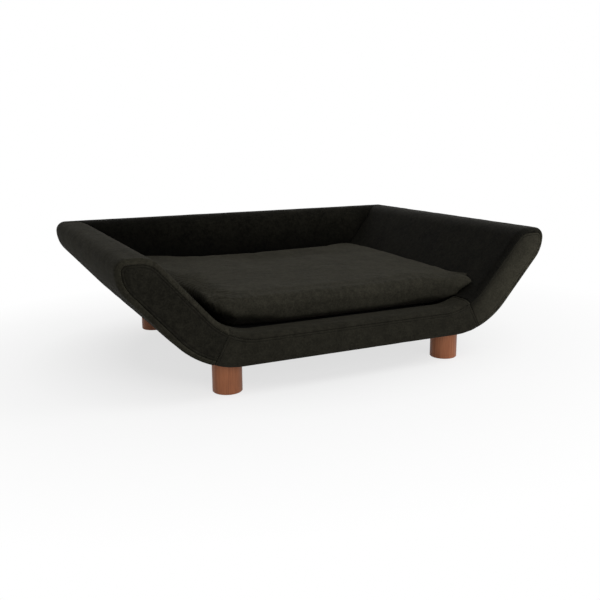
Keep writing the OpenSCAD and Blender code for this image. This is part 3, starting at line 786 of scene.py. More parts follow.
def arm_cover(side, hand):
    sheet = Sheet()
    stations, top = outline_to_slope(4.0)
    # One more row of points right beside the seam's foot, where the cover's front edge starts
    foot_row = next(k for k, s in enumerate(stations)
                    if s[0] > at(BEND_OUT, SEAM_FOOT)[0] and s[1] > UNDER)
    stations.insert(foot_row, arc_stations(BEND_OUT, SEAM_FOOT + 0.03, SEAM_FOOT + 0.03, 1.0)[0])
    top += 1
    bend = [(s, 0.0) for s in arc_stations(BEND_IN, SLOPE_END, SEAM + BESIDE_SEAM, 4.0, hollow=True,
                                           skip=1)]
    bend += reversed(seam_stations(1, False))
    low = (slope_x(IN_N, DECK + 1.05), DECK + 1.05, *stations[-1][2:])
    down = line_stations(stations[-1], low, 5.0, skip=1)
    profile = edge_profile()
    body = [FRONT + EDGE + BODY_RUN * k / 6 for k in range(1, 7)]
    long_run = [RAIL_END + (REAR - EDGE - RAIL_END) * k / 103 for k in range(1, 104)]
    split = len(profile) + len(body) + len(REAR_TURNS) - 1
    rear_first = split + 1 + next(k for k, y in enumerate(long_run) if y > ROLL_ONLY_Y)

    def column_points(low_front=False, along=None):
        """Insets and places from front to rear; along is how far a row lies into the bend."""
        if low_front:
            # Under the front panel's hem the cover starts further back, a little higher
            made = [(UNDER_HEM, FRONT + 26 + 0.25 * k) for k in range(len(profile))]
            for y in body:
                share = (y - FRONT - EDGE) / BODY_RUN
                made.append((UNDER_HEM * (1 - min(1.0, max(0.0, (share - 0.72) / 0.2))),
                             max(y, FRONT + 28.4 + share * 2)))
        else:
            made = [(depth, FRONT + back) for depth, back in profile] + [(0.0, y) for y in body]
        radius = REAR_R + (EDGE - REAR_R) * (along or 0.0)
        for turn in REAR_TURNS:
            a = math.radians(turn)
            depth = 0.0 if along is None else radius * (1 - math.cos(a))
            made.append((depth, RAIL_END - radius * (1 - math.sin(a))))
        made += [(0.0, y) for y in long_run]
        return made + [(depth, REAR - back) for depth, back in reversed(profile[:-1])]

    def put_row(key, station, columns, chosen, extra=0.0):
        for j in chosen:
            depth, y = columns[j]
            x, z = inset(station, depth + extra)
            fade = min(1.0, max(0.0, (y - FRONT - 5) / 12), max(0.0, (REAR - 5 - y) / 12))
            lift = waves(side * x, y, z, (0.55, 38.0), (0.25, 14.0))
            if key[0] == "down":
                fade = min(fade, (z - DECK - 1) / 10)
            elif z < 90:
                # Near the underside the cloth only sinks in, so the hems over it lie flat
                lift = -abs(lift) * 0.5
            if depth > 0.01:
                fade *= 0.3
            x, z = inset(station, depth + extra - lift * fade)
            sheet.put((key, j), (side * x, y, z))

    plain_columns = column_points()
    count = len(plain_columns)
    for k, station in enumerate(stations):
        columns = column_points(True) if k < foot_row else plain_columns
        put_row(("main", k), station, columns, range(count if k <= top else rear_first))
    for k, (station, extra) in enumerate(bend):
        columns = column_points(False, (k + 1) / len(bend))
        put_row(("bend", k), station, columns, range(split + 1), extra)
    for k, station in enumerate(down):
        put_row(("down", k), station, plain_columns, range(split, rear_first))
    arm_strips(sheet, (len(stations), len(bend), len(down)), count, side)
    faces = open_leg_holes(sheet.points, sheet.faces)
    piece = skin(hand + "_arm_velvet", sheet.points, faces, COVER, VELVETS_NAP_AND_SHADE[hand + "_arm"])
    stretched(piece, hand + "_arm_cover")


for side, hand in SIDES:
    arm_cover(side, hand)


# Rail cover: the velvet band over the front rail between the two slanted joining seams.
# It turns down over the rail's inner side to the deck, behind the cushion's front.
def rail_cover():
    sheet = Sheet()
    first = arc_stations(BEND_IN, SEAM - BESIDE_SEAM, -90, 4.0, hollow=True)
    right = seam_stations(-1, True) + [(station, 0.0) for station in first[1:]]
    left = [((-s[0], s[1], -s[2], s[3]), extra) for s, extra in reversed(right)]
    middle = [(s, 0.0) for s in line_stations(right[-1][0], left[0][0], 4.0, skip=1)]
    stations = right + middle + left[1:]
    profile = [(depth, FRONT + back) for depth, back in edge_profile()]
    profile += [(0.0, FRONT + EDGE + BODY_RUN * k / 7) for k in range(1, 8)]
    for turn in (15, 30, 45, 60, 75, 90):
        a = math.radians(turn)
        profile.append((EDGE * (1 - math.cos(a)), RAIL_END - EDGE * (1 - math.sin(a))))
    skirt = 4
    foot_z = DECK + 0.4
    end = len(profile) - 1
    for k, (station, extra) in enumerate(stations):
        low = max(foot_z, station[1] - EDGE - 60)
        for j, (depth, y) in enumerate(profile):
            x, z = inset(station, depth + extra)
            fade = min(1.0, max(0.0, (y - FRONT - 5) / 8)) if y < -250 else 0.5
            lift = waves(x, y, z, (0.6, 34.0), (0.3, 13.0))
            x, z = inset(station, depth + extra - lift * fade * (0.3 if depth > 0.1 else 1.0))
            sheet.put((k, j), (x, y, z))
        x, z = inset(station, EDGE + extra)
        for j in range(1, skirt + 1):
            sheet.put((k, end + j), (x, RAIL_END, z + (low - z) * j / skirt))
    sheet.strips(range(len(stations)), end + 1 + skirt)
    # The skirt goes on beside the seams, under the arm covers' bends, down to the slope
    wings = arc_stations(BEND_IN, SEAM, SLOPE_END, 5.0, hollow=True, skip=1)
    for side, edge in ((1, 0), (-1, len(stations) - 1)):
        keys = [edge]
        for k, station in enumerate(wings):
            share = (k + 1) / len(wings)
            x, z = inset(station, EDGE + (REAR_R - EDGE) * share + 0.5)
            floor = min(max(foot_z, (x * ARM_SIN - IN_N) / ARM_COS + 0.6), z - 0.4)
            keys.append(("wing", side, k))
            for j in range(skirt + 1):
                sheet.put((keys[-1], end + j),
                          (side * x, RAIL_END - 0.1, z + (floor - z) * j / skirt))
        sheet.strips(keys, end + 1 + skirt, side > 0)
    piece = skin("rail_velvet", sheet.points, [f[::-1] for f in sheet.faces], COVER, VELVETS_NAP_AND_SHADE["rail"])
    stretched(piece, "front_rail_cover")


rail_cover()


# Front face panel: one flat velvet piece between the slanted seams, turned under the rail.
# Its top edge is sewn to the rail's band, with a top-stitch beside the seam.
UNROLLED = EDGE * math.pi / 2 - EDGE
HEM = 30.0
FOLD_END = math.radians(SEAM_FOOT + 1)


def folded(x, z, face_y, away):
    """Where a point of the unrolled panel lies: flat, round the bottom edge or on the hem.
    Past the seam's foot there is no fold."""
    side = 1 if x > 0 else -1
    over = abs(x) - BEND_OUT[0]
    if over > 0:
        reach = math.hypot(over, BEND_OUT[1] - z)
        out = (over / reach, (z - BEND_OUT[1]) / reach)
        depth = BEND_OUT[2] - reach
        foot = (BEND_OUT[0] + out[0] * BEND_OUT[2], BEND_OUT[1] + out[1] * BEND_OUT[2])
    else:
        out = (0.0, -1.0)
        depth = z - UNDER
        foot = (abs(x), UNDER)
    past_foot = over > 0 and math.atan2(z - BEND_OUT[1], over) > FOLD_END
    if depth >= EDGE or past_foot:
        return (x, face_y, z), (0.0, -away, 0.0)
    turn = min(math.pi / 2, (EDGE - depth) / EDGE)
    in_by = EDGE * (1 - math.sin(turn))
    back = EDGE * (1 - math.cos(turn)) + max(0.0, -UNROLLED - depth)
    place = (side * (foot[0] - out[0] * in_by), face_y + away * back, foot[1] - out[1] * in_by)
    normal = (side * out[0] * math.sin(turn), -away * math.cos(turn), out[1] * math.sin(turn))
    return place, normal


def seam_point(circle_depth):
    """Where the right slanted seam's line meets the outer bend's outline, or an inset of it."""
    turn = math.radians(SEAM)
    wx = BEND_IN[0] - BEND_OUT[0]
    wz = BEND_IN[1] - BEND_OUT[1]
    b = wx * math.cos(turn) + wz * math.sin(turn)
    reach = math.sqrt(b * b - wx * wx - wz * wz + (BEND_OUT[2] - circle_depth) ** 2) - b
    return at(BEND_IN, SEAM, reach)


def laid(x, z, face_y, away, folds):
    """Where a point of a panel lies, and the direction out of the panel there."""
    return folded(x, z, face_y, away) if folds else ((x, face_y, z), (0.0, -away, 0.0))


def flat_panel(name, boundary, seams, face_y, away, step, folds, cloth):
    """A cloth panel on a flat face. seams are the sewn lines of its edge, and whether each
    has a top-stitch beside it."""
    flat, faces = fill(boundary, [d for d, _ in SEAM_STEPS[1:]], step)
    points = []
    for x, z in flat:
        gaps = [(distance_to(line, (x, z), False), stitched) for line, stitched in seams]
        gap = min(gaps)[0]
        depth = max(seam_depth(g, stitched) for g, stitched in gaps)
        lift = waves(x, face_y, z, (0.45, 36.0), (0.2, 13.0))
        lift *= min(1.0, max(0.0, (gap - 5) / 8))
        lift += pucker_at(x + z) * max(0.0, 1 - abs(gap - 3) / 4)
        lift = max(-0.4, lift)
        place, normal = laid(x, z, face_y, away, folds)
        if place[2] < UNDER + 4:
            lift = min(0.0, lift)
        points.append(tuple(c + (lift - depth) * n for c, n in zip(place, normal)))
    if away < 0:
        faces = [face[::-1] for face in faces]
    return skin(name, points, faces, COVER, cloth)


STITCH_LINES = []
STITCH_FROM_SEAM = 4.5
STITCH_DEPTH = 0.9


def stitch_beside(line, boundary, face_y, away, folds):
    """Keeps the top-stitch's path: the line moved into the panel by the stitch's distance."""
    fine = [p for a, b in zip(line, line[1:]) for p in divided(a, b, 4)] + [line[-1]]
    path = []
    for (ax, az), (x, z), (bx, bz) in zip(fine, fine[1:], fine[2:]):
        along = Vector((bx - ax, bz - az)).normalized()
        for sign in (1, -1):
            q = (x - sign * along[1] * STITCH_FROM_SEAM, z + sign * along[0] * STITCH_FROM_SEAM)
            if inside(boundary, q):
                break
        if not inside(boundary, q) or distance_to(line, q, False) < STITCH_FROM_SEAM * 0.96:
            continue
        place, normal = laid(*q, face_y, away, folds)
        path.append(tuple(c - STITCH_DEPTH * n for c, n in zip(place, normal)))
    STITCH_LINES.append(path)


def wide_panel(name, right, seam, face_y, away, step, cloth):
    """A panel from side to side that turns under the bottom, from its right half and seam."""
    boundary = both_sides(right)
    lines = [seam, [(-x, z) for x, z in seam]]
    seams = [(line, True) for line in lines]
    piece = flat_panel(name, boundary, seams, face_y, away, step, True, cloth)
    for line in lines:
        stitch_beside(line, boundary, face_y, away, True)
    return piece


SEW = EDGE + SEW_GAP
HEM_OUT = HEM - EDGE + UNROLLED
# From the middle of the slanted seam to the front panel's edge beside it
SEAM_SHIFT = (SEW_GAP / 2 * math.sin(math.radians(SEAM)),
              -SEW_GAP / 2 * math.cos(math.radians(SEAM)))


def beside_seam(point):
    return point[0] + SEAM_SHIFT[0], point[1] + SEAM_SHIFT[1]


def hem_edge():
    """The right half of the hem's unrolled edge, from the middle to the seam's foot."""
    step = 4.0
    circle = (*BEND_OUT[:2], BEND_OUT[2] + HEM_OUT)
    made = [(k * step, UNDER - HEM_OUT) for k in range(int(BEND_OUT[0] / step) + 1)]
    return made + [station[:2] for station in arc_stations(circle, -90, SEAM_FOOT, step)]


def front_panel():
    low = beside_seam(seam_point(0.0))
    high = beside_seam(at(BEND_IN, SEAM, BEND_IN[2] + SEW))
    joint = [(low[0] + (high[0] - low[0]) * k / 10, low[1] + (high[1] - low[1]) * k / 10)
             for k in range(1, 11)]
    top = [inset(s, SEW) for s in rail_stations(3.5, SEAM - SEAM_TURN) if s[0] > 1][1:]
    seam = [low, high] + top + [(0, RAIL_TOP - SEW)]
    piece = wide_panel("front_panel", hem_edge() + [low] + joint + top, seam, FRONT, 1, 5.0,
                       VELVETS_NAP_AND_SHADE["rail"])
    stretched(piece, "front_face_panel")


front_panel()


# End panels: the flat velvet pieces on the fronts of the arms, inside the stitched seam loops.
# Each runs from the slanted seam up round the roll, with a top-stitch beside its seams.
def end_loop(step):
    """The right panel's sewn edge, from the slanted seam's foot round the arm's end."""
    foot = seam_point(SEW)
    start = math.degrees(math.atan2(foot[1] - BEND_OUT[1], foot[0] - BEND_OUT[0]))
    loop = [(foot[0] - SEAM_SHIFT[0], foot[1] - SEAM_SHIFT[1])]
    for station in outline_to_slope(step)[0]:
        x, z = station[:2]
        turn = math.degrees(math.atan2(z - BEND_OUT[1], x - BEND_OUT[0]))
        if z > LOW_SIDE or (x > foot[0] and turn > start + 1.2):
            loop.append(inset(station, SEW))
    return loop + [inset(s, SEW) for s in arc_stations(BEND_IN, SLOPE_END, SEAM + SEAM_TURN, step,
                                                       hollow=True, skip=1)]


def end_panel(side, hand):
    right = end_loop(3.5)
    around, boundary = ([(side * x, z) for x, z in line] for line in (right, spaced(right, 3.5)))
    if side < 0:
        boundary.reverse()
    seams = [(around, True), ([around[0], around[-1]], False)]
    piece = flat_panel(hand + "_front_panel", boundary, seams, FRONT, 1, 4.5, False,
                       VELVETS_NAP_AND_SHADE[hand + "_end"])
    stitch_beside(around, boundary, FRONT, 1, False)
    stretched(piece, hand + "_end_panel")


for side, hand in SIDES:
    end_panel(side, hand)


# Inside back cover: velvet up the back's inner face, over its padded top edge to the rear seam.
# Its ends are tucked between the back and the arms.
def inside_back():
    low = DECK + 0.4
    rise = BACK_ARC[1] + BACK_ARC[2] * math.sin(LEAN_TURN) - low
    slant = [low + rise * k / 28 for k in range(28)]
    section = [(back_y(z), z, -math.cos(LEAN_TURN), math.sin(LEAN_TURN)) for z in slant]
    section += arc_stations(BACK_ARC, 180 - LEAN, 90, 3.5)
    # From here the arms' covers end at the rolls' tops, and this one is sewn to them
    sewn_y = 263.7
    section += [(sewn_y + (REAR - EDGE - sewn_y) * k / 4, TOP, 0.0, 1.0) for k in range(5)]
    section += [(REAR - back, TOP - depth, 0.0, 0.0) for depth, back in edge_profile()[-2::-1]]
    ends = [0.0, 0.5, 1.6, 3.4, 6.0, 9.0]
    sheet = Sheet()
    for i, (y, z, ny, nz) in enumerate(section):
        sewn = y >= sewn_y
        half = ROLL_IN[0] - 0.12 if sewn else arm_face_x(min(z, TOP - 0.02)) - 0.7
        places = [-(half - d) for d in ends]
        places += [(k / 56 - 1) * (half - 12) for k in range(113)]
        places += [half - d for d in reversed(ends)]
        for j, x in enumerate(places):
            gap = half - abs(x)
            tuck = (0.4 if sewn else 3.2) * max(0.0, 1 - gap / 3.4) ** 2
            lift = waves(x, y, z, (0.8, 46.0), (0.3, 15.0)) * min(1.0, gap / 10, (z - low) / 10)
            if y > 270:
                lift *= 0.4
            sheet.put((i, j), (x, y + ny * (lift - tuck), z + nz * (lift - tuck)))
    for i in range(len(section) - 1):
        for j in range(len(places) - 1):
            sheet.face((i, j), (i, j + 1), (i + 1, j + 1), (i + 1, j))
    piece = skin("inside_back_velvet", sheet.points, sheet.faces, COVER, VELVETS_NAP_AND_SHADE["back"])
    stretched(piece, "inside_back_cover")


inside_back()


# Outside back panel: flat velvet behind the back, turned under the bottom edge.
# Sewn round its sides and top to the arm covers and the inside back cover.
def outside_back():
    outline, top = outline_to_slope(4.0)
    foot = seam_point(SEW)
    around = [inset(station, SEW) for station in outline[:top + 1]]
    seam = [beside_seam(seam_point(0.0)), foot]
    seam += [(x, z) for x, z in around if z >= LOW_SIDE or x >= foot[0] + 1]
    corner_x = seam[-1][0]
    across = int(corner_x / 4.0)
    seam += [(corner_x * (1 - k / across), TOP - SEW) for k in range(1, across + 1)]
    piece = wide_panel("rear_velvet", hem_edge() + seam, seam, REAR, -1, 6.0, VELVETS_NAP_AND_SHADE["rear"])
    stretched(piece, "outside_back_panel")


outside_back()


# Top-stitches: black polyester thread along the seams of the covers, in short even stitches.
# One node tree sets a small lens-shaped stitch at every step along the paths.
def repeat_tree(name, shape, sizes):
    """A node tree that repeats one small shape along the edges of a mesh."""
    tree = bpy.data.node_groups.new(name, "GeometryNodeTree")
    for way in ("INPUT", "OUTPUT"):
        tree.interface.new_socket("Geometry", in_out=way, socket_type="NodeSocketGeometry")
    for label in sizes:
        kind = "NodeSocketMaterial" if label == "Material" else "NodeSocketFloat"
        tree.interface.new_socket(label, in_out="INPUT", socket_type=kind)
    given = add(tree, "NodeGroupInput").outputs
    curve = add(tree, "GeometryNodeMeshToCurve", {"Mesh": given["Geometry"]})
    level = add(tree, "GeometryNodeSetCurveNormal", {"Curve": curve.outputs["Curve"]},
                mode="Z_UP")
    places = add(tree, "GeometryNodeCurveToPoints",
                 {"Curve": level.outputs["Curve"], "Length": given["Pitch"]}, mode="LENGTH")
    size = add(tree, "ShaderNodeCombineXYZ",
               {"X": given["Width"], "Y": given["Height"], "Z": given["Length"]})
    if shape == "lens":
        base = add(tree, "GeometryNodeMeshUVSphere", {"Segments": 6, "Rings": 4, "Radius": 0.5})
    else:
        base = add(tree, "GeometryNodeMeshCube", {"Size": (1, 1, 1)})
    scaled = add(tree, "GeometryNodeTransform",
                 {"Geometry": base.outputs["Mesh"], "Scale": size.outputs["Vector"]})
    placed = add(tree, "GeometryNodeInstanceOnPoints",
                 {"Points": places.outputs["Points"], "Instance": scaled.outputs["Geometry"],
                  "Rotation": places.outputs["Rotation"]})
    real = add(tree, "GeometryNodeRealizeInstances", {"Geometry": placed.outputs["Instances"]})
    dressed = add(tree, "GeometryNodeSetMaterial", {"Geometry": real.outputs["Geometry"],
                                                    "Material": given["Material"]})
    tree.nodes.active = add(tree, "NodeGroupOutput", {"Geometry": dressed.outputs["Geometry"]})
    return tree


def applied(piece):
    depsgraph = bpy.context.evaluated_depsgraph_get()
    mesh = bpy.data.meshes.new_from_object(piece.evaluated_get(depsgraph))
    piece.modifiers.clear()
    piece.data = mesh


def repeated(name, shape, paths, sizes, body="root"):
    """One piece of many small shapes: a copy at every pitch along each of the paths."""
    points = []
    edges = []
    for path in paths:
        edges += [(len(points) + k, len(points) + k + 1) for k in range(len(path) - 1)]
        points += [tuple(c * MM for c in p) for p in path]
    mesh = bpy.data.meshes.new(name)
    mesh.from_pydata(points, edges, [])
    piece = object_of(name, mesh)
    modifier = piece.modifiers.new("repeat", "NODES")
    modifier.node_group = repeat_tree(name, shape, sizes)
    for item in modifier.node_group.interface.items_tree:
        if item.in_out == "INPUT" and item.name in sizes:
            modifier[item.identifier] = sizes[item.name]
    applied(piece)
    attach(piece, body)


def thread_material():
    material, tree, shader = new_material("thread", Roughness=0.7, Specular_IOR_Level=0.1)
    twist = noise_of(tree, place_of(tree), 2400.0, 2.0)
    color = ramp(tree, twist, (0.3, (0.003, 0.003, 0.002)), (0.7, (0.010, 0.009, 0.007)))
    surface(tree, shader, color, twist, 0.0001, 0.6)
    return material


for side, _ in SIDES:
    turn = SEAM - math.degrees(STITCH_FROM_SEAM / BEND_IN[2])
    station = arc_stations(BEND_IN, turn, turn, 1.0, hollow=True)[0]
    path = []
    for depth, back in edge_profile()[3:]:
        x, z = inset(station, depth + STITCH_DEPTH)
        path.append((side * x, FRONT + back, z))
    x, z = inset(station, STITCH_DEPTH)
    path += [(side * x, FRONT + EDGE + 4 * k, z) for k in range(1, 9)]
    STITCH_LINES.append(path)

repeated("cover_stitches", "lens", STITCH_LINES, {
    "Pitch": 0.0042, "Width": 0.0006, "Height": 0.0006, "Length": 0.0033,
    "Material": thread_material()})


# Deck cloth: plain woven black cloth under the cushion, stapled to the deck board's edges.
# Dust cover: thin spun-bonded cloth under the frame, stapled over the hems.
def woven(name, dark, light, pitch):
    """Plain weave: dark and light are the colours, or grays, of its hollows and its tops; the hollows'
    darkness is painted shade.
    """
    material, tree, shader = new_material(name, Roughness=0.85, Specular_IOR_Level=0.25)
    place = place_of(tree)
    split = add(tree, "ShaderNodeSeparateXYZ", {"Vector": place})
    turns = 2 * math.pi / pitch
    across, along = (math_of(tree, "SINE", math_of(tree, "MULTIPLY", split.outputs[axis], turns))
                     for axis in "XY")
    # The colour follows the bump's height: darker in the weave's hollows as painted shade, with random
    # tone from the noise
    height = weighted(tree, (math_of(tree, "MULTIPLY", across, along), 0.35),
                      (noise_of(tree, place, 700.0, 3.0), 1.0))
    surface(tree, shader, ramp(tree, height, (0.2, dark), (0.9, light)), height, 0.0003, 0.6)
    return material


def flat_cloth(name, node, half_x, low_y, high_y, top, thickness, sag, material, holes):
    sheet = Sheet()
    pitch = 5
    across = round(2 * half_x / pitch)
    along = round((high_y - low_y) / pitch)
    for i in range(across + 1):
        x = half_x * (2 * i / across - 1)
        for j in range(along + 1):
            y = low_y + (high_y - low_y) * j / along
            drop = sag * (1 - (x / half_x) ** 2) * (1 - (2 * j / along - 1) ** 2)
            drop += 0.3 * sag * abs(rough_at(x / 45, y / 45, 2.0))
            sheet.put((i, j), (x, y, top - drop))
    sheet.strips(range(across + 1), along + 1)
    faces = open_leg_holes(sheet.points, sheet.faces) if holes else sheet.faces
    piece = skin(name, sheet.points, faces, thickness, material)
    stretched(piece, node)


flat_cloth("deck_lining", "deck_cloth", slope_x(IN_N, DECK) + 0.8, RAIL_END + 0.06,
           back_y(DECK) - 0.25, DECK + 1.5, 1.4, 0.05,
           woven("platform_cloth", (0.006, 0.006, 0.006), (0.024, 0.024, 0.023), 0.0011),
           False)
flat_cloth("dust_sheet", "dust_cover", HEM_X + 8, -REAR + HEM - 8, REAR - HEM + 8, UNDER - 0.05,
           0.7, 2.0, woven("dust_cloth", 0.008, 0.035, 0.0016), True)
STAPLE_X = HEM_X + 2
STAPLE_Y = REAR - HEM + 2
STAPLE_Z = UNDER - 1.0
STAPLE_LINES = []
for side, _ in SIDES:
    STAPLE_LINES.append([(side * STAPLE_X, -205, STAPLE_Z), (side * STAPLE_X, 205, STAPLE_Z)])
    STAPLE_LINES.append([(-188, side * STAPLE_Y, STAPLE_Z), (188, side * STAPLE_Y, STAPLE_Z)])
repeated("cover_staples", "box", STAPLE_LINES, {
    "Pitch": 0.047, "Width": 0.0012, "Height": 0.0006, "Length": 0.0105,
    "Material": metal("staple_wire", (0.6, 0.6, 0.62), 0.35)})


# Cushion: a foam core in a loose velvet case, crowned, with its front corners lifted.
# The case is blown up by a cloth simulation, then creased at its corners and left side.
CUSHION_Z = 89.8
CUSHION_TOP = 165.6
CUSHION_FRONT = RAIL_END + 1.0
ZIP_Y = 191.5
ZIP_Z = 116.2
ZIP_HALF = 120.68


def keep_clear(x, y, z, extra=0.0):
    """A point of the cushion moved back off the arms, the back, the rail, the deck and the zip."""
    z = min(max(z, CUSHION_Z + 0.1 + extra), CUSHION_TOP - extra)
    limit = slope_x(IN_N - 1.2 - extra, z)
    x = min(limit, max(-limit, x))
    over = min(1.0, max(0.0, abs(x) - BEND_IN[0]) / BEND_IN[2])
    rail_top = BEND_IN[1] - BEND_IN[2] * math.sqrt(1 - over * over)
    if z < rail_top + 1.5 + extra or extra > 0:
        y = max(y, CUSHION_FRONT + 0.1 + extra)
    y = min(y, back_y(z) - 1.2 - extra)
    away = max(0.0, (abs(x) - ZIP_HALF - 4.5) / 60, (abs(z - ZIP_Z) - 13) / 14)
    if away < 1:
        y = min(y, ZIP_Y - 0.2 - extra + 14 * away * away)
    return x, y, z


def share_of(value, low, high):
    """A smooth step from 0 at low to 1 at high."""
    t = min(1.0, max(0.0, (value - low) / (high - low)))
    return t * t * (3 - 2 * t)


# Each front corner of the cushion: where it lies on the plain core, where it goes, how far
# round it that reaches, and how much of the height counts
CORNERS = [((240, -213, 148), (256.5, -241, 140), 36.0, 0.5),
           ((-238, -211, 148), (-236, -212, 146), 34.0, 1.0)]


def cushion_form(x, y, z):
    """Where a point of the plain core lies once the cushion is in the bed."""
    mid_y = (CUSHION_FRONT + ZIP_Y) / 2
    x *= 1.008
    y = mid_y + (y - mid_y) * 1.008
    top = share_of(z, 118, 148)
    # Top corners: the right one is pulled out full, the left one stays round
    for centre, goal, reach, height_share in CORNERS:
        apart = Vector((x, y, z)) - Vector(centre)
        apart.z *= height_share
        share = math.exp(-apart.length_squared / reach ** 2)
        x, y, z = (p + share * (g - c) for p, g, c in zip((x, y, z), goal, centre))
    # Upper front edge: fuller than the core's rounding
    edge = share_of(z, 118, 138) * (1 - share_of(z, 147, 154)) * share_of(-y, 192, 222)
    y -= 3.2 * edge
    z += 2.2 * edge
    corner = share_of(z, 137, 148) * share_of(x, 220, 246) * share_of(-y, 190, 225)
    x += 12.0 * corner
    z += 0.8 * corner
    # Lower front edge: it rolls under above the deck, highest at the corners
    front = share_of(-y, 125, 232)
    lift = 18 + (12 if x < 0 else 6) * share_of(abs(x), 90, 210)
    lift += 11 * share_of(abs(x), 205, 245 if x < 0 else 262)
    roll = 5.0
    below = CUSHION_Z + lift + roll - z
    if below > 0:
        t = min(1.0, below / roll)
        back = roll * (1 - math.sqrt(1 - t * t)) + 1.9 * max(0.0, below - roll)
        y += front * back
        x -= math.copysign(0.3 * back * front * share_of(abs(x), 205, 262), x)
    # Left side: drawn in from the arm towards the front, and pushed up at the back
    x += 16 * share_of(-x, 130, 235) * share_of(-y, 20, 180)
    z += top * 11 * share_of(-x, 20, 205) * share_of(y, -90, 170)
    z += top * 4 * share_of(x, 110, 240) * share_of(y, -60, 170)
    z += top * 4 * share_of(y, 80, 165) * (1 - share_of(abs(x - 60), 60, 170))
    # Back corners: full, up against the back
    y += top * 10 * share_of(y, 150, 190) * share_of(abs(x), 125, 200)
    return x, y, z


def creases(x, y, z):
    """How far the case stands out at a point: pleats at the corners and folds on the left."""
    height = waves(x, y, z, (0.7, 46.0), (0.3, 16.0)) * share_of(-y, -185, -120)
    for side, corner, strength in ((1, (258, -238, 149), 2.3), (-1, (-226, -222, 142), 1.3)):
        dx = side * (corner[0] - x)
        dy = y - corner[1]
        dz = corner[2] - z
        reach = math.sqrt(dx * dx + dy * dy + dz * dz)
        turn = math.atan2(dx, max(0.1, dz + 0.8 * dy))
        fade = math.exp(-((reach - 14) / 17) ** 2)
        height += strength * fade * math.sin(turn * 21 + reach * 0.05)
    left = math.exp(-((x + 226) / 34) ** 2) * share_of(z, 118, 135) * share_of(-y, -150, 100)
    run = y + 0.18 * x + 7 * rough_at(x / 26, y / 50, 4.4)
    height += left * math.sin(run / 1.75)
    roll = math.exp(-((y + 222) / 15) ** 2) * share_of(z, 112, 130)
    run = x - 0.4 * z + 14 * rough_at(x / 60, z / 40, 8.8)
    ripple = 0.42 * roll * math.sin(run / 2.6)
    return height + ripple * (0.4 + abs(rough_at(x / 48, 2.2, 6.1)) * 2)


def move_points(piece, rule):
    for vertex in piece.data.vertices:
        vertex.co = Vector(rule(*(c / MM for c in vertex.co))) * MM


def push_out(piece, height):
    """Moves every point along the normal that it has before any of them moves."""
    goals = [vertex.co + vertex.normal * height(*(c / MM for c in vertex.co)) * MM
             for vertex in piece.data.vertices]
    for vertex, goal in zip(piece.data.vertices, goals):
        vertex.co = goal


def even_copy(name):
    """The core's plain form as an even mesh, shaped as it lies in the bed."""
    piece = object_of(name, nodes["cushion_core"].data.copy())
    remesh = piece.modifiers.new("even", "REMESH")
    remesh.mode = "VOXEL"
    remesh.voxel_size = 0.006
    applied(piece)
    move_points(piece, cushion_form)
    return piece


def blow_up(piece):
    """A short cloth simulation with the lower part held, its points' movement capped."""
    held_below = 128 * MM
    frames = 20
    start = [(vertex.co.copy(), vertex.normal.copy()) for vertex in piece.data.vertices]
    group = piece.vertex_groups.new(name="held")
    group.add([v.index for v in piece.data.vertices if v.co.z < held_below], 1.0, "REPLACE")
    cloth = piece.modifiers.new("blow", "CLOTH")
    settings = cloth.settings
    settings.vertex_group_mass = "held"
    settings.quality = 6
    settings.mass = 0.3
    settings.tension_stiffness = 15
    settings.compression_stiffness = 15
    settings.shear_stiffness = 6
    settings.bending_stiffness = 0.5
    settings.use_pressure = True
    settings.uniform_pressure_force = 0.4
    settings.shrink_min = -0.006
    settings.effector_weights.gravity = 0
    cloth.point_cache.frame_start = 1
    cloth.point_cache.frame_end = frames
    for step in range(1, frames + 1):
        bpy.context.scene.frame_set(step)
    applied(piece)
    bpy.context.scene.frame_set(1)
    cap = 9 * MM
    least = -0.8 * MM
    for vertex, (before, normal) in zip(piece.data.vertices, start):
        moved = vertex.co - before
        moved += normal * max(0.0, least - moved.dot(normal))
        # The top rises little at the front and fully at the back
        rise = 1.5 + 7 * share_of(before.y / MM, -170, 80)
        moved.z = min(moved.z, rise * MM)
        if moved.length > cap:
            moved *= cap / moved.length
        vertex.co = before + moved


def finish_cushion(piece, material, node):
    piece.data.shade_smooth()
    piece.data.materials.clear()
    piece.data.materials.append(material)
    padding(piece, node, "cushion")


def cushion():
    core = even_copy("cushion_pad")
    push_out(core, lambda x, y, z: -5.5)
    move_points(core, lambda x, y, z: keep_clear(x, y, z, 3.5))
    finish_cushion(core, foam, "cushion_core")

    case = even_copy("cushion_case")
    blow_up(case)
    move_points(case, keep_clear)
    smooth = case.modifiers.new("fine", "SUBSURF")
    smooth.levels = 1
    smooth.render_levels = 1
    applied(case)
    push_out(case, creases)
    move_points(case, keep_clear)
    cloth = velvet("cushion_velvet", 0.026, 95.0, 1.3, 0.044)
    finish_cushion(case, cloth, "cushion_cover")


cushion()


# Zip in the cushion's back: woven tape, coil teeth, slider and pull in black enamel.
# The tape is sewn into the case; the slider's pull hangs from its pin.
dress(metal("black_enamel", (0.035, 0.035, 0.036), 0.38, 0.3), "zip_slider", "zip_pull")


def zip_tape():
    sheet = Sheet()
    columns = 120
    rows = [-12, -8, -4, -2.2, 0, 2.2, 4, 8, 12]
    for i in range(columns + 1):
        x = ZIP_HALF * (1 - 2 * i / columns)
        for j, z in enumerate(rows):
            ripple = 0.12 * rough_at(x / 9, z / 9, 5.0) if abs(z) > 4 else 0.0
            sheet.put((i, j), (x, ZIP_Y + 0.75 - abs(ripple), ZIP_Z + z))
    sheet.strips(range(columns + 1), len(rows))
    piece = skin("zip_band", sheet.points, sheet.faces, 0.55,
                 woven("zip_cloth", 0.010, 0.05, 0.0009))
    stretched(piece, "zip_tape", "cushion")


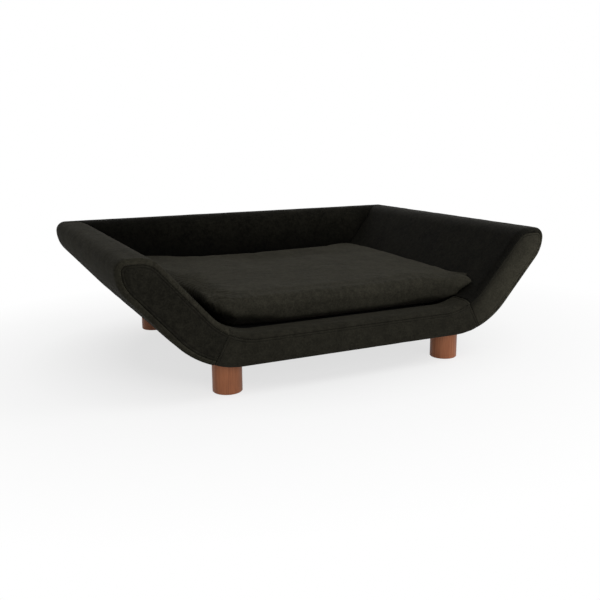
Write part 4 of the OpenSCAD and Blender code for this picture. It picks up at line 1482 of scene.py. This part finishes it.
zip_tape()
TEETH_Y = ZIP_Y + 1.25
TEETH_END = ZIP_HALF - 6
TEETH_LINES = [
    [(-TEETH_END, TEETH_Y, ZIP_Z + 0.9), (TEETH_END, TEETH_Y, ZIP_Z + 0.9)],
    [(-TEETH_END + 0.8, TEETH_Y, ZIP_Z - 0.9), (TEETH_END - 0.8, TEETH_Y, ZIP_Z - 0.9)]]
repeated("zip_teeth", "box", TEETH_LINES, {
    "Pitch": 0.0016, "Width": 0.0009, "Height": 0.0031, "Length": 0.0008,
    "Material": metal("nylon", (0.03, 0.03, 0.03), 0.45, 0.0)}, "cushion")


# Floor and backdrop: a plain white studio floor under the bed.
# Camera and lamps: the photograph's viewpoint, and soft light from the right, front and top.
def seen_share(tree):
    """1 for what the camera sees, straight, mirrored or through glass, and 0 for plain light."""
    rays = add(tree, "ShaderNodeLightPath")
    seen = math_of(tree, "MAXIMUM", rays.outputs["Is Camera Ray"], rays.outputs["Is Glossy Ray"])
    return math_of(tree, "MAXIMUM", seen, rays.outputs["Is Transmission Ray"])


def studio():
    points = [(-6000, -6000, 0), (6000, -6000, 0), (6000, 6000, 0), (-6000, 6000, 0)]
    material, tree, shader = new_material("floor", Roughness=0.9, Specular_IOR_Level=0.0)
    clouds = noise_of(tree, place_of(tree), 3.0, 2.0)
    tree.links.new(ramp(tree, clouds, (0.3, 0.90), (0.7, 0.92)), shader.inputs["Base Color"])
    # Seen by the camera the floor pales to white away from the bed and keeps a faint shadow
    reach = add(tree, "ShaderNodeVectorMath", {0: place_of(tree, (0.8, 1, 1))},
                operation="LENGTH").outputs["Value"]
    pale = ramp(tree, reach, (0.25, 0.7), (0.42, 0.86), (0.75, 1.0))
    white = add(tree, "ShaderNodeEmission", {"Color": (1, 1, 1, 1), "Strength": 1.0})
    blend = add(tree, "ShaderNodeMixShader",
                {0: math_of(tree, "MULTIPLY", pale, seen_share(tree)),
                 1: shader.outputs["BSDF"], 2: white.outputs["Emission"]})
    tree.links.new(blend.outputs["Shader"], tree.nodes["Material Output"].inputs["Surface"])
    mesh_piece("floor", points, [[0, 1, 2, 3]], material)

    world = bpy.data.worlds.new("studio")
    bpy.context.scene.world = world
    world.use_nodes = True
    tree = world.node_tree
    background = tree.nodes["Background"]
    strength = math_of(tree, "ADD", math_of(tree, "MULTIPLY", seen_share(tree), 0.7), 0.3)
    tree.links.new(strength, background.inputs["Strength"])
    background.inputs["Color"].default_value = (1, 1, 1, 1)


studio()


def lamp(name, place, target, size, power):
    data = bpy.data.lights.new(name, "AREA")
    data.shape = "DISK"
    data.size = size
    data.energy = power
    light = object_of(name, data)
    light.location = place
    light.rotation_euler = (Vector(target) - Vector(place)).to_track_quat("-Z", "Y").to_euler()


lamp("key", (1.4, -1.1, 1.8), (0.1, -0.1, 0.15), 1.2, 21)
lamp("fill", (-0.2, -2.4, 1.0), (0, 0, 0.1), 1.4, 13)

# The photo's focal length and width, both in its pixels
FOCAL_LENGTH = 738.27
PHOTO_WIDTH = 600


def camera():
    yaw, pitch, roll = (math.radians(degrees) for degrees in (25.82, 12.46, -0.46))
    forward = Vector((math.sin(yaw) * math.cos(pitch), math.cos(yaw) * math.cos(pitch),
                      -math.sin(pitch)))
    right = Vector((math.cos(yaw), -math.sin(yaw), 0))
    up = right.cross(forward)
    turned_right = math.cos(roll) * right + math.sin(roll) * up
    turned_up = -math.sin(roll) * right + math.cos(roll) * up
    data = bpy.data.cameras.new("camera")
    data.sensor_width = 36
    data.lens = FOCAL_LENGTH / PHOTO_WIDTH * data.sensor_width
    data.clip_end = 50
    item = object_of("camera", data)
    matrix = Matrix((turned_right, turned_up, -forward)).transposed().to_4x4()
    matrix.translation = Vector((-0.61784, -1.33534, 0.41062))
    item.matrix_world = matrix
    bpy.context.scene.camera = item


camera()
bpy.context.scene.view_settings.view_transform = "Standard"
